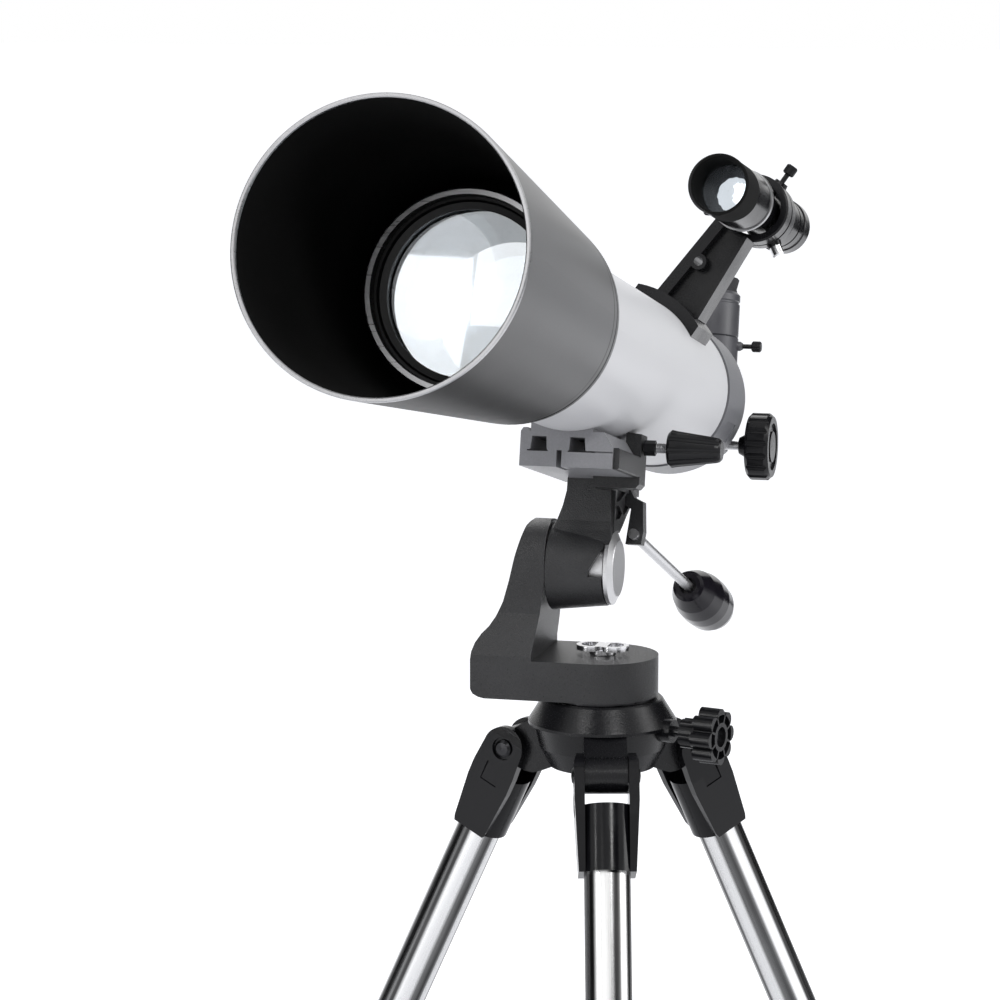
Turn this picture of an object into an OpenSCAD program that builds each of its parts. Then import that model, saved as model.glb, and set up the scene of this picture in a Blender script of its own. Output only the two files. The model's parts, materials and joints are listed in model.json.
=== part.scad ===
// Refracting telescope on a one-arm altazimuth head and a three-leg steel tripod.
// Z is up and Z = 0 is the floor. The tube looks along -Y, raised by nose_up about the altitude axis.

/* [Optical tube] */
// Outer diameter of the main tube
tube_d = 90; // [84:0.5:94]
// Wall of the main tube
tube_wall = 1.6; // [1:0.1:2.5]
// Reach of the main tube in front of the azimuth axis
tube_front = 285; // [240:1:320]
// Reach of the main tube behind the azimuth axis
tube_rear = 127; // [110:1:145]
// Sideways offset of the tube from the azimuth axis
tube_x = -4; // [-8:0.5:2]
// Angle of the tube above the horizon
nose_up = 13; // [0:0.5:25]
// Outer diameter of the lens cell
cell_d = 100; // [98:0.5:104]
// Length of the lens cell in front of the tube end
cell_nose = 31; // [26:1:36]
// Length of the cell socket over the tube
cell_socket = 15; // [10:1:20]
// Diameter of the objective lens
lens_d = 84; // [78:0.5:86]
// Clear opening of the lens retaining ring
lens_clear = 81; // [70:0.5:82]
// Opening of the cell in front of the retaining ring
cell_mouth_d = 92.5; // [90:0.5:95]

/* [Dew shield] */
// Outer diameter at the front of the dew shield
shield_front_d = 136; // [130:0.5:142]
// Outer diameter at the back of the dew shield
shield_back_d = 108.6; // [107:0.2:114]
// Length of the dew shield
shield_len = 245; // [210:1:260]
// Reach of the shield behind the front end of the tube
shield_lap = 67.5; // [50:0.5:80]
// Wall of the dew shield
shield_wall = 2.1; // [1.6:0.1:3]
// Depth of the bright rim along the shield
rim_depth = 2.4; // [1.6:0.1:4]

/* [Rear cell and focuser] */
// Length of the straight part of the rear cell
rear_len = 51; // [40:1:60]
// Length of the rounded part of the rear cell
bowl_len = 27; // [20:1:34]
// Diameter of the flat back of the rear cell
bowl_back_d = 66; // [58:1:72]
// Outer diameter of the focuser body
focuser_d = 50; // [46:0.5:54]
// Length of the focuser body
focuser_len = 40; // [34:1:50]
// Outer diameter of the drawtube
draw_d = 35; // [34.5:0.1:37]
// Length of the drawtube
draw_len = 140; // [132:1:150]
// Running clearance round the drawtube
draw_gap = 0.06; // [0.03:0.01:0.1]
// Pitch radius of the pinion
pinion_r = 5; // [4:0.25:6]
// Teeth on the pinion
pinion_teeth = 14; // [12:1:18]
// Diameter of the focus knobs
knob_d = 40.6; // [34:0.2:46]
// Thickness of the focus knobs
knob_w = 14.5; // [10:0.5:18]
// Distance from the tube axis to the inner face of a focus knob
knob_reach = 48; // [46:0.5:54]
// Diameter of the knob shaft
shaft_d = 5.5; // [4.5:0.1:6]

/* [Diagonal and eyepiece] */
// Diameter of the eyepiece and diagonal barrels
barrel_d = 31.75; // [31.5:0.05:32]
// Clearance between a barrel and its socket, on the diameter
barrel_gap = 0.16; // [0.1:0.02:0.3]
// Width of the diagonal housing
diagonal_w = 39.2; // [38:0.2:44]
// Height of the eyepiece socket above the tube axis
socket_top = 50; // [44:1:56]
// Height of the eyepiece above its socket
eyepiece_h = 38; // [32:1:44]
// Diameter of the eyepiece body
eyepiece_d = 39; // [36:0.5:42]
// Height of the rubber eyecup
eyecup_h = 9; // [6:0.5:12]

/* [Finder] */
// Diameter of the finder hood
finder_d = 34; // [30:0.5:38]
// Length of the finder
finder_len = 160; // [140:1:180]
// Distance from the tube axis to the finder axis
finder_reach = 120.5; // [114:0.5:128]
// Angle of the finder round the tube, from the top toward +X
finder_angle = 33; // [25:1:40]
// Reach of the finder in front of the azimuth axis
finder_front = 15; // [5:1:25]
// Sideways aim of the finder in its ring
finder_aim = 3.5; // [0:0.25:4]
// Distance of the finder shoe behind the azimuth axis
shoe_back = 35; // [25:1:45]
// Length of the finder shoe along the tube
shoe_len = 44; // [36:1:52]
// Width of the finder shoe
shoe_w = 43; // [38:0.5:48]

/* [Foot and saddle] */
// Width of the foot under the tube
foot_w = 37.2; // [36:0.2:38]
// Sideways offset of the foot from the tube axis, where the clamp presses it
foot_x = -3; // [-4:0.1:-2]
// Reach of the foot and saddle in front of the azimuth axis
saddle_front = 88; // [80:1:96]
// Length of the foot and saddle
saddle_len = 112; // [100:1:125]
// Width of the saddle
saddle_w = 51; // [48:0.5:56]
// Height of the foot below the tube
foot_h = 10.4; // [9:0.2:12]
// Thickness of the saddle bed
saddle_t = 9; // [7:0.2:11]
// Reach of the clamp screw in front of the azimuth axis
clamp_front = 25; // [15:1:35]
// Length of the clamp knob
clamp_len = 29.5; // [24:0.5:36]
// Diameter of the clamp knob at its wide end
clamp_d = 20.8; // [17:0.2:24]

/* [Altazimuth head] */
// Height of the altitude axis above the top of the foot
altitude_h = 48.8; // [44:0.1:54]
// Height of the tube axis above the altitude axis when level
tube_h = 113; // [108:0.25:120]
// Outer diameter of the altitude barrel at the fork arm
barrel_od = 49; // [46:0.2:50]
// Outer diameter of the altitude barrel at the cap
barrel_end_d = 42; // [41:0.2:44]
// Diameter of the cap on the altitude axis
cap_d = 41; // [38:0.2:43]
// Diameter of the flat face of the cap
cap_face_d = 31.2; // [24:0.2:36]
// Length of the altitude barrel
barrel_len = 31.5; // [30:0.5:34]
// Gap between the barrel and the fork arm
barrel_play = 0.4; // [0.3:0.05:0.6]
// Diameter of the altitude bolt
altitude_bolt_d = 12; // [8:0.5:16]
// Diameter of the round foot of the fork arm
foot_d = 62.4; // [58:0.2:66]
// Thickness of the foot
foot_t = 22.3; // [18:0.1:26]
// Reach of the fork arm to the side of the azimuth axis
arm_reach = 68.5; // [64:0.5:74]
// Height of the fork arm above the foot
arm_h = 75.2; // [72:0.2:80]
// Depth of the fork arm at its round top
arm_depth = 44; // [40:0.5:50]
// Diameter of the azimuth bolt
azimuth_bolt_d = 10; // [8:0.5:12]
// Length of the bare part of the pan handle
rod_len = 103; // [80:1:130]
// Diameter of the pan handle rod
rod_d = 6; // [5:0.2:8]
// Length of the handle grip
grip_len = 59; // [50:1:80]
// Largest diameter of the handle grip
grip_d = 31.5; // [26:0.5:36]

/* [Tripod] */
// Turn of the front leg from -Y toward +X
leg_turn = 15; // [0:1:60]
// Angle of the legs from vertical
leg_spread = 25.6; // [20:0.2:30]
// Distance of a leg pivot from the azimuth axis
pivot_r = 54.3; // [52:0.1:58]
// Drop of the leg pivots below the top of the foot
pivot_drop = 57; // [55:0.5:60]
// Radius of the hub skirt
skirt_r = 41.6; // [39:0.2:43]
// Width of a hub tongue
tongue_w = 23.6; // [20:0.2:25]
// Outer diameter of the upper leg tubes
leg_d = 25.4; // [25:0.1:26.5]
// Outer diameter of the lower leg tubes
lower_d = 22; // [20:0.1:22.4]
// Wall of the leg tubes
leg_wall = 1.2; // [0.8:0.1:1.5]
// Length of the upper leg tubes
upper_len = 545; // [520:1:560]
// Length of the leg brackets below the pivot
bracket_len = 55; // [50:1:62]
// Thickness of a bracket cheek
cheek_t = 5.6; // [4.5:0.1:6.5]
// Length of the leg clamps
clamp_sleeve = 46; // [38:1:56]
// Bare length of a lower leg between its clamp and its foot
lower_show = 25.3; // [16:0.1:60]
// Height of the rubber feet
rubber_h = 26; // [20:1:32]
// Reach of the leg extension
leg_travel = 430; // [300:10:440]

/* [Hidden] */
$fn = 72;

// Gap between flat faces that turn or slide past each other
turn_gap = 0.3;
// Radial gap of a turning shaft in its bore
run_gap = 0.05;
// Gap between the tip of the drawtube's loosened thumbscrew and the barrel inside
tip_gap = 1.6;
// Overshoot of a cut past the face that it opens
cut = 1;

tube_r = tube_d / 2;
tube_in = tube_r - tube_wall;
cell_front = tube_front + cell_nose;
shield_rear = tube_front - shield_lap;
shield_front = shield_rear + shield_len;
rear_gap = 1.4;
rear_end = tube_rear + rear_len;
bowl_end = rear_end + bowl_len;
focuser_end = bowl_end + focuser_len;
focuser_start = rear_end + 6;
socket_r = (barrel_d + barrel_gap) / 2;

// Rack and pinion
tooth_pitch = 2 * PI * pinion_r / pinion_teeth;
tooth_tip = 0.5;
tooth_root = 0.75;
rack_t = 3;
rack_w = 8;
pinion_drop = draw_d / 2 + rack_t + tooth_root + pinion_r;
pinion_y = rear_end + 12;
collar_d = draw_d + 6;
collar_len = 14;
draw_end = focuser_end + 19;
draw_start = draw_end - draw_len;
focus_out = 60;
focus_in = 2.5;

// Star diagonal and eyepiece
diagonal_y = draw_end + turn_gap + diagonal_w / 2 + 1.4;
mirror_t = 3;
screw_lift = 5;
thumb_d = 7;

// Finder
ring_len = 27;
ring_y = shoe_back + 35;
ring_d = 39.6;
ring_bore = 31;
finder_neck = 24;
eyepiece_end_d = 31;
finder_x = finder_reach * sin(finder_angle);
finder_z = finder_reach * cos(finder_angle);

// Foot and saddle, measured down from the tube axis
foot_z = -tube_r - foot_h;
saddle_z = foot_z - saddle_t;
dovetail = 1.6;
clamp_z = foot_z + 8;

// Altazimuth head
barrel_r = barrel_od / 2;
barrel_end_r = barrel_end_d / 2;
cap_r = cap_d / 2;
barrel_left = -28;
arm_face = barrel_left - barrel_play;
sleeve_r = 17.4;
foot_r = foot_d / 2;
barrel_right = barrel_left + barrel_len;
cap_x = barrel_right + turn_gap;
cap_w = 5.2;
washer_t = 1.2;
hub_top = -foot_t - 2 * turn_gap - washer_t;
lock_z = -39.5;

// Legs
leg_tilt = -leg_spread;
cheek_in = tongue_w / 2 + turn_gap;
cheek_out = cheek_in + cheek_t;
pivot_d = 8;
window = 18;
plug_t = 2;
leg_top = window + plug_t;
leg_bottom = leg_top + upper_len;
clamp_lip = 8;
sleeve_end = leg_bottom + clamp_lip;
foot_reach = sleeve_end + lower_show + rubber_h;
// Height of the top of the fork foot above the floor
head_h = pivot_drop + foot_reach * cos(leg_spread);
lower_end = foot_reach - rubber_h + 18;
lower_top = leg_top + upper_len - leg_travel - 60;

// The origin is on the floor under the middle of the whole outline
feet_r = pivot_r + foot_reach * sin(leg_spread);
front_y = shield_front * cos(nose_up) - (tube_h - shield_front_d / 2) * sin(nose_up);
back_y = (diagonal_y + eyepiece_d / 2) * cos(nose_up) + (tube_h + socket_top + eyepiece_h) * sin(nose_up);
stand_x = feet_r * (sin(120 - leg_turn) - sin(120 + leg_turn)) / 2;
stand_y = (front_y - back_y) / 2;

// Frames: the fork foot's top, the altitude axis, the tube axis, a direction along the tube, and a leg pivot
module at_head() translate([stand_x, stand_y, head_h]) children();
module aim() at_head() translate([0, 0, altitude_h]) rotate([-nose_up, 0, 0]) children();
module on_tube() aim() translate([tube_x, 0, tube_h]) children();
module along(y = 0) translate([0, y, 0]) rotate([-90, 0, 0]) children();
module across(x = 0) translate([x, 0, 0]) rotate([0, 90, 0]) children();
module on_finder() on_tube() translate([finder_x, ring_y, finder_z]) rotate([0, 0, -finder_aim]) children();
module leg_at(i) at_head() rotate([0, 0, leg_turn + 120 * i]) translate([0, -pivot_r, -pivot_drop])
    rotate([leg_tilt, 0, 0]) children();

// A ring with its axis on Z
module ring(outer, inner, h, z = 0) translate([0, 0, z]) difference() {
    cylinder(d = outer, h = h);
    translate([0, 0, -cut]) cylinder(d = inner, h = h + 2 * cut);
}
// A solid extruded along X with its profile in the Y-Z plane, centred on x
module slab_x(w, x = 0) translate([x - w / 2, 0, 0]) rotate([90, 0, 90]) linear_extrude(w) children();
// A solid extruded along Y from y with its profile in the X-Z plane
module slab_y(y, w) translate([0, y + w, 0]) rotate([90, 0, 0]) linear_extrude(w) children();
// Rounded rectangle
module rounded(w, h, r) {
    for (x = [-1, 1]) for (y = [-1, 1]) translate([x * (w / 2 - r), y * (h / 2 - r)]) circle(r, $fn = 24);
    square([w - 2 * r, h], center = true);
    square([w, h - 2 * r], center = true);
}
// Points of a spherical lens face of radius R at height z, from the axis to radius a
function lens_face(R, a, z, n = 8) = [for (i = [0:n]) let (r = a * i / n) [r, z + R - sign(R) * sqrt(R * R - r * r)]];

// ---------------------------------------------------------------- optical tube
module dew_shield() color("#3c3c40") on_tube() along(-shield_front) difference() {
    rotate_extrude($fn = 96) polygon(concat([
        [shield_front_d / 2 - shield_wall, rim_depth],
        [shield_front_d / 2, rim_depth],
        [shield_taper(shield_len - 9), shield_len - 9],
        [shield_taper(shield_len - 9) - 0.9, shield_len - 8.4],
        [shield_taper(shield_len - 7) - 0.9, shield_len - 7.2],
        [shield_taper(shield_len - 6.5), shield_len - 6.6],
        [shield_back_d / 2, shield_len - 1.5],
        [shield_back_d / 2 - 1.5, shield_len]],
        [[tube_r + 0.4, shield_len],
        [tube_r + 0.4, shield_len - 2.4],
        [shield_back_d / 2 - shield_wall, shield_len - 3.4],
        [shield_taper(collar_at + cell_socket) - shield_wall, collar_at + cell_socket],
        [cell_d / 2, collar_at + cell_socket],
        [cell_d / 2, collar_at],
        [shield_taper(collar_at) - shield_wall, collar_at - 6]]));
}
function shield_taper(s) = shield_front_d / 2 + (shield_back_d - shield_front_d) / 2 * s / shield_len;
collar_at = shield_front - tube_front;
module shield_rim() color("silver") on_tube() along(-shield_front)
    rotate_extrude($fn = 96) polygon([[shield_front_d / 2 - shield_wall, 0.5],
        [shield_front_d / 2 - shield_wall + 0.5, 0], [shield_front_d / 2 - 0.5, 0],
        [shield_front_d / 2, 0.5], [shield_front_d / 2, rim_depth],
        [shield_front_d / 2 - shield_wall, rim_depth]]);

lens_r = lens_d / 2;
mouth_depth = 10;
seat_depth = cell_nose - 3;
module lens_cell() color("#2a2a2e") on_tube() along(-cell_front) difference() {
    rotate_extrude($fn = 96) polygon([[cell_mouth_d / 2, 0], [cell_d / 2 - 1, 0], [cell_d / 2, 1],
        [cell_d / 2, cell_nose + cell_socket - 1], [cell_d / 2 - 1, cell_nose + cell_socket],
        [tube_r, cell_nose + cell_socket], [tube_r, cell_nose], [lens_r - 2, cell_nose],
        [lens_r - 2, seat_depth], [lens_r, seat_depth], [lens_r, mouth_depth], [cell_mouth_d / 2, mouth_depth]]);
}
module cell_ring() color("#1c1c20") on_tube() along(-cell_front + mouth_depth)
    rotate_extrude($fn = 96) polygon([[lens_clear / 2, 0], [cell_mouth_d / 2, 0], [cell_mouth_d / 2, -4],
        [cell_mouth_d / 2 - 1.4, -4], [cell_mouth_d / 2 - 2.4, -2.4], [lens_clear / 2, -1.6]]);
crown_t = 9;
crown_front_R = 420;
crown_back_R = 400;
air_gap = 0.4;
module crown_lens() color("lightblue") on_tube() along(-cell_front + mouth_depth)
    rotate_extrude($fn = 96) polygon(concat(lens_face(crown_front_R, lens_clear / 2 - 0.5, -lens_sag(crown_front_R), 8),
        [[lens_clear / 2, 0.2], [lens_r, 0.2], [lens_r, crown_t]], flip(lens_face(-crown_back_R, lens_r - 1.5, crown_t + 1.6, 8))));
function lens_sag(R) = R - sqrt(R * R - pow(lens_clear / 2 - 0.5, 2)) - 0.1;
function flip(v) = [for (i = [len(v) - 1:-1:0]) v[i]];
module flint_lens() color("lightcyan") on_tube() along(-cell_front + mouth_depth + crown_t + air_gap)
    rotate_extrude($fn = 96) polygon([[0, 3.4], [lens_r - 3, 3.4], [lens_r - 1.5, 0], [lens_r, 0],
        [lens_r, seat_depth - mouth_depth - crown_t - air_gap], [0, seat_depth - mouth_depth - crown_t - air_gap]]);
module main_tube() color("white") on_tube() along(-tube_front)
    ring(tube_d, 2 * tube_in, tube_front + tube_rear, $fn = 120);
module tube_baffles() color("#1c1c20") on_tube() for (b = [[-tube_front * 0.55, 36], [-tube_front * 0.1, 29]])
    along(b[0]) rotate_extrude($fn = 96) polygon([[b[1], 0], [tube_in, 0], [tube_in, 8], [tube_in - 1, 8],
        [tube_in - 1, 1], [b[1], 1]]);

// ---------------------------------------------------------------- rear cell and focuser
cell_r = tube_r + 1;
flange_r = cell_r - 3;
module rear_cell() color("#77777d") on_tube() along(tube_rear) difference() {
    rotate_extrude($fn = 96) polygon([[tube_in - 2.5, -14], [tube_in, -14], [tube_in, 0], [tube_r - 0.7, 0],
        [tube_r - 0.7, rear_gap], [cell_r, rear_gap], [cell_r, rear_len], [flange_r, rear_len],
        [flange_r, rear_len - 5], [tube_in - 2.5, rear_len - 5]]);
    // side recess
    for (s = [-1, 1]) rotate([0, 0, s * 62]) translate([0, cell_r + 9.2, rear_len - 24]) cube([12, 20, 26], center = true);
}
module focuser_body() color("#6c6c72") on_tube() difference() {
    union() {
        along(rear_end - 5) rotate_extrude($fn = 96) polygon([[draw_d / 2 + draw_gap, 11], [flange_r - 3, 5],
            [flange_r - 3, 0], [flange_r, 0], [flange_r, 5], [cell_r, 5], [cell_r - 0.8, 11],
            [cell_r - 3.2, 17], [cell_r - 7, 23], [cell_r - 11, 28], [bowl_back_d / 2, 5 + bowl_len],
            [focuser_d / 2 + 2, 5 + bowl_len], [focuser_d / 2, 7 + bowl_len],
            [focuser_d / 2 - 1.5, 3 + bowl_len + focuser_len], [focuser_d / 2 - 3, 5 + bowl_len + focuser_len],
            [draw_d / 2 + draw_gap, 5 + bowl_len + focuser_len]]);
        // saddle over the pinion
        translate([0, pinion_y, -pinion_drop]) intersection() {
            across(-33) cylinder(r = pinion_r + 5, h = 66);
            along(-20) translate([0, -pinion_drop, 0]) cylinder(r = cell_r - 2, h = 40);
        }
    }
    along(pinion_y - 12) cylinder(r = draw_d / 2 + draw_gap, h = 24, $fn = 96);
    // rack slot, pinion pocket and shaft bore
    translate([-rack_w / 2 - 0.4, rear_end - 5 - cut, -pinion_drop + pinion_r - tooth_tip - 0.5])
        cube([rack_w + 0.8, bowl_len + focuser_len + 10, pinion_drop - pinion_r - 10]);
    translate([0, pinion_y, -pinion_drop]) across(-rack_w / 2 - 0.4) cylinder(r = pinion_r + tooth_tip + 0.5, h = rack_w + 0.8);
    translate([0, pinion_y, -pinion_drop]) across(-60) cylinder(d = shaft_d + 2 * run_gap, h = 120);
}

// Rack tooth outline, one tooth centred on 0, pointing to -Z
function rack_tooth(c) = [[c - tooth_pitch * 0.33, 0], [c - tooth_pitch * 0.11, -tooth_root - tooth_tip],
    [c + tooth_pitch * 0.11, -tooth_root - tooth_tip], [c + tooth_pitch * 0.33, 0]];
rack_teeth = ceil((focus_out + focus_in + 12) / tooth_pitch);
rack_first = pinion_y - focus_out - 5;
rack_phase = (pinion_y - rack_first) / tooth_pitch - floor((pinion_y - rack_first) / tooth_pitch);
module drawtube() color("silver") on_tube() {
    along(draw_start) difference() {
        union() {
            cylinder(d = draw_d, h = draw_len, $fn = 96);
            translate([0, 0, draw_len - collar_len]) rotate_extrude($fn = 96) polygon([[draw_d / 2 - 0.5, 0],
                [collar_d / 2 - 1, 0], [collar_d / 2, 1], [collar_d / 2, collar_len - 1],
                [collar_d / 2 - 1, collar_len], [draw_d / 2 - 0.5, collar_len]]);
            // rack bar and teeth, under the tube
            translate([0, 0, rack_first - draw_start]) rack();
        }
        translate([0, 0, -cut]) cylinder(r = socket_r, h = draw_len + 2 * cut, $fn = 96);
        // thumbscrew hole
        translate([0, 0, draw_len - collar_len / 2]) rotate([90, 0, 0]) cylinder(d = 3.1, h = collar_d);
    }
}
module rack() rotate([0, -90, 0]) translate([0, 0, -rack_w / 2]) linear_extrude(rack_w)
    polygon(concat([[0, draw_d / 2 - 0.9], [0, draw_d / 2 + rack_t]],
        [for (i = [0:rack_teeth - 1]) for (p = rack_tooth(0)) [(i + 0.5) * tooth_pitch + p[0], draw_d / 2 + rack_t - p[1]]],
        [[rack_teeth * tooth_pitch, draw_d / 2 + rack_t], [rack_teeth * tooth_pitch, draw_d / 2 - 0.9]]));
// Pinion outline: straight-flanked teeth round the pitch circle, one gap facing the rack's nearest tooth
function pinion_points() = [for (i = [0:pinion_teeth - 1]) for (p = [[-0.29, -tooth_root], [-0.215, -0.2],
    [-0.11, tooth_tip], [0.11, tooth_tip], [0.215, -0.2], [0.29, -tooth_root]])
    let (a = (i + p[0]) * 360 / pinion_teeth, r = pinion_r + p[1]) [r * cos(a), r * sin(a)]];
module pinion() color("#8c8c90") on_tube() translate([0, pinion_y, -pinion_drop]) {
    across(-rack_w / 2 + 0.2) linear_extrude(rack_w - 0.4) rotate(180 + 360 / pinion_teeth * (rack_phase))
        polygon(pinion_points());
    across(-knob_reach - knob_w + 3) cylinder(d = shaft_d, h = 2 * (knob_reach + knob_w - 3));
}
// Fluted knob: inner face at z = 0, pointing to +Z
module fluted_knob(d, w, lobes, hub_d, hub_len, bore) difference() {
    union() {
        difference() {
            rotate_extrude($fn = 96) polygon([[0, 0], [d / 2 - 2, 0], [d / 2, 2], [d / 2, w - 2.4], [d / 2 - 2, w], [0, w]]);
            for (i = [0:lobes - 1]) rotate(i * 360 / lobes) translate([d / 2 + 1.4, 0, -cut]) cylinder(r = 2.6, h = w + 2 * cut, $fn = 32);
            // ring recess in the face
            translate([0, 0, w - 1.2]) ring(d - 12, d - 22, 2);
        }
        translate([0, 0, -hub_len]) cylinder(d1 = hub_d, d2 = hub_d + 7, h = hub_len + 0.5);
    }
    translate([0, 0, -hub_len - cut]) cylinder(d = bore, h = hub_len + w - 3 + cut);
}
module focus_knobs() color("#222226") on_tube() translate([0, pinion_y, -pinion_drop]) for (s = [0, 1])
    mirror([s, 0, 0]) across(knob_reach) fluted_knob(knob_d, knob_w, 16, 10, 6, shaft_d);

// Small thumbscrew: the thread's tip at z = 0, pointing to +Z
module thumbscrew(thread, len, d, h) {
    cylinder(d = thread, h = len + 0.5, $fn = 24);
    translate([0, 0, len]) difference() {
        rotate_extrude($fn = 48) polygon([[0, 0], [d / 2 - 0.8, 0], [d / 2, 0.8], [d / 2, h - 0.8], [d / 2 - 0.8, h], [0, h]]);
        for (i = [0:9]) rotate(i * 36) translate([d / 2 + 0.25, 0, -cut]) cylinder(r = 0.6, h = h + 2 * cut, $fn = 16);
    }
}
module drawtube_screw() color("#222226") on_tube() translate([0, draw_end - collar_len / 2, socket_r + tip_gap])
    thumbscrew(3, collar_d / 2 - socket_r + 5.3 - tip_gap, thumb_d, 6);

// ---------------------------------------------------------------- star diagonal and eyepiece
diag_start = draw_end + turn_gap;
mirror_half = diagonal_w / 2 - 4;
prism_half = diagonal_w / 2 - 2;
module diagonal_body() color("#5a5a60") on_tube() difference() {
    union() {
        along(diag_start - 30) cylinder(d = barrel_d, h = 31, $fn = 96);
        along(diag_start) rotate_extrude($fn = 96) polygon([[0, 0], [diagonal_w / 2 - 1, 0], [diagonal_w / 2, 1],
            [diagonal_w / 2, 13], [diagonal_w / 2 - 1, 14], [0, 14]]);
        slab_x(2 * prism_half) polygon([[diag_start + 2, -prism_half], [diagonal_y - 4, -prism_half],
            [diagonal_y + prism_half, 4], [diagonal_y + prism_half, prism_half], [diag_start + 2, prism_half]]);
        translate([0, diagonal_y, 6]) cylinder(d = diagonal_w, h = socket_top - 6, $fn = 96);
        translate([0, diagonal_y, socket_top - screw_lift]) across(diagonal_w / 2 - 1) rotate_extrude($fn = 32)
            polygon([[0, 0], [3, 0], [3, 2.8], [2, 4.4], [0, 4.4]]);
    }
    // light path, mirror seat, eyepiece bore and screw hole
    intersection() {
        union() {
            along(diag_start - 31) cylinder(r = barrel_d / 2 - 1.6, h = 80, $fn = 96);
            translate([0, diagonal_y, -20]) cylinder(r = mirror_half - 1.2, h = 60, $fn = 96);
        }
        slab_x(60) polygon([[diagonal_y - 80, -25], [diagonal_y - 25, -25], [diagonal_y + 50, 50], [diagonal_y - 80, 50]]);
    }
    translate([0, diagonal_y, diagonal_w / 2]) cylinder(r = socket_r, h = socket_top, $fn = 96);
    mirror_place() mirror_plate();
    translate([0, diagonal_y, socket_top - screw_lift]) across(socket_r - 2) cylinder(d = 3.1, h = 20, $fn = 24);
}
module mirror_place() translate([0, diagonal_y, 0]) rotate([45, 0, 0]) translate([0, 0, -mirror_t]) children();
module mirror_plate() translate([-mirror_half, -mirror_half * 1.3, 0]) cube([2 * mirror_half, mirror_half * 2.6, mirror_t]);
module diagonal_mirror() color("gainsboro") on_tube() mirror_place() mirror_plate();
module diagonal_screw() color("#222226") on_tube() translate([0, diagonal_y, socket_top - screw_lift])
    across(socket_r + turn_gap) thumbscrew(3, diagonal_w / 2 - socket_r + 9, thumb_d, 6);

module on_eyepiece() on_tube() translate([0, diagonal_y, socket_top + turn_gap]) children();
lens_stop = 22;
module eyepiece_barrel() color("silver") on_eyepiece() difference() {
    union() {
        translate([0, 0, -28]) cylinder(d = barrel_d, h = 28, $fn = 96);
        cylinder(d = barrel_d - 4, h = 6, $fn = 96);
    }
    translate([0, 0, -29]) cylinder(d = barrel_d - 3, h = 24, $fn = 96);
    translate([0, 0, -29]) cylinder(d = barrel_d - 8, h = 40, $fn = 96);
}
body_h = eyepiece_h - eyecup_h;
module eyepiece_body() color("#4a4a50") on_eyepiece() difference() {
    rotate_extrude($fn = 96) polygon([[0, 0], [eyepiece_d / 2 - 0.8, 0], [eyepiece_d / 2, 0.8],
        [eyepiece_d / 2, body_h - 8], [eyepiece_d / 2 - 0.7, body_h - 7.4], [eyepiece_d / 2 - 0.7, body_h - 6.4],
        [eyepiece_d / 2, body_h - 5.8], [eyepiece_d / 2, body_h - 2], [eyepiece_d / 2 - 2, body_h], [0, body_h]]);
    translate([0, 0, -cut]) cylinder(d = barrel_d - 4, h = 6 + cut, $fn = 96);
    cylinder(d = barrel_d - 8, h = body_h - 6, $fn = 96);
    translate([0, 0, body_h - 6.01]) cylinder(d = lens_stop, h = 10, $fn = 96);
}
module eye_lens() color("lightblue") on_eyepiece() translate([0, 0, body_h - 6]) rotate_extrude($fn = 96)
    polygon(concat([[0, 0], [lens_stop / 2, 0], [lens_stop / 2, 3]], flip(lens_face(-40, lens_stop / 2 - 0.6, 4.6, 6))));
module eyecup() color("#1c1c20") on_eyepiece() translate([0, 0, body_h]) rotate_extrude($fn = 96)
    polygon([[lens_stop / 2 + 1, 0], [eyepiece_d / 2 - 2, 0], [eyepiece_d / 2 - 2.6, 2], [eyepiece_d / 2 - 1.2, eyecup_h - 1],
        [eyepiece_d / 2 - 2, eyecup_h], [eyepiece_d / 2 - 3.4, eyecup_h - 1], [eyepiece_d / 2 - 4.6, 2.4], [lens_stop / 2 + 1, 2]]);

// ---------------------------------------------------------------- finder
screw_y = 20;
hood_len = 56;
body_len = 62;
hood_step = 28;
neck_step = 36;
trim_w = 4;
neck_r = finder_neck / 2;
finder_start = -finder_front - ring_y;
eye_start = finder_start + hood_len + trim_w + body_len;
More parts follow.
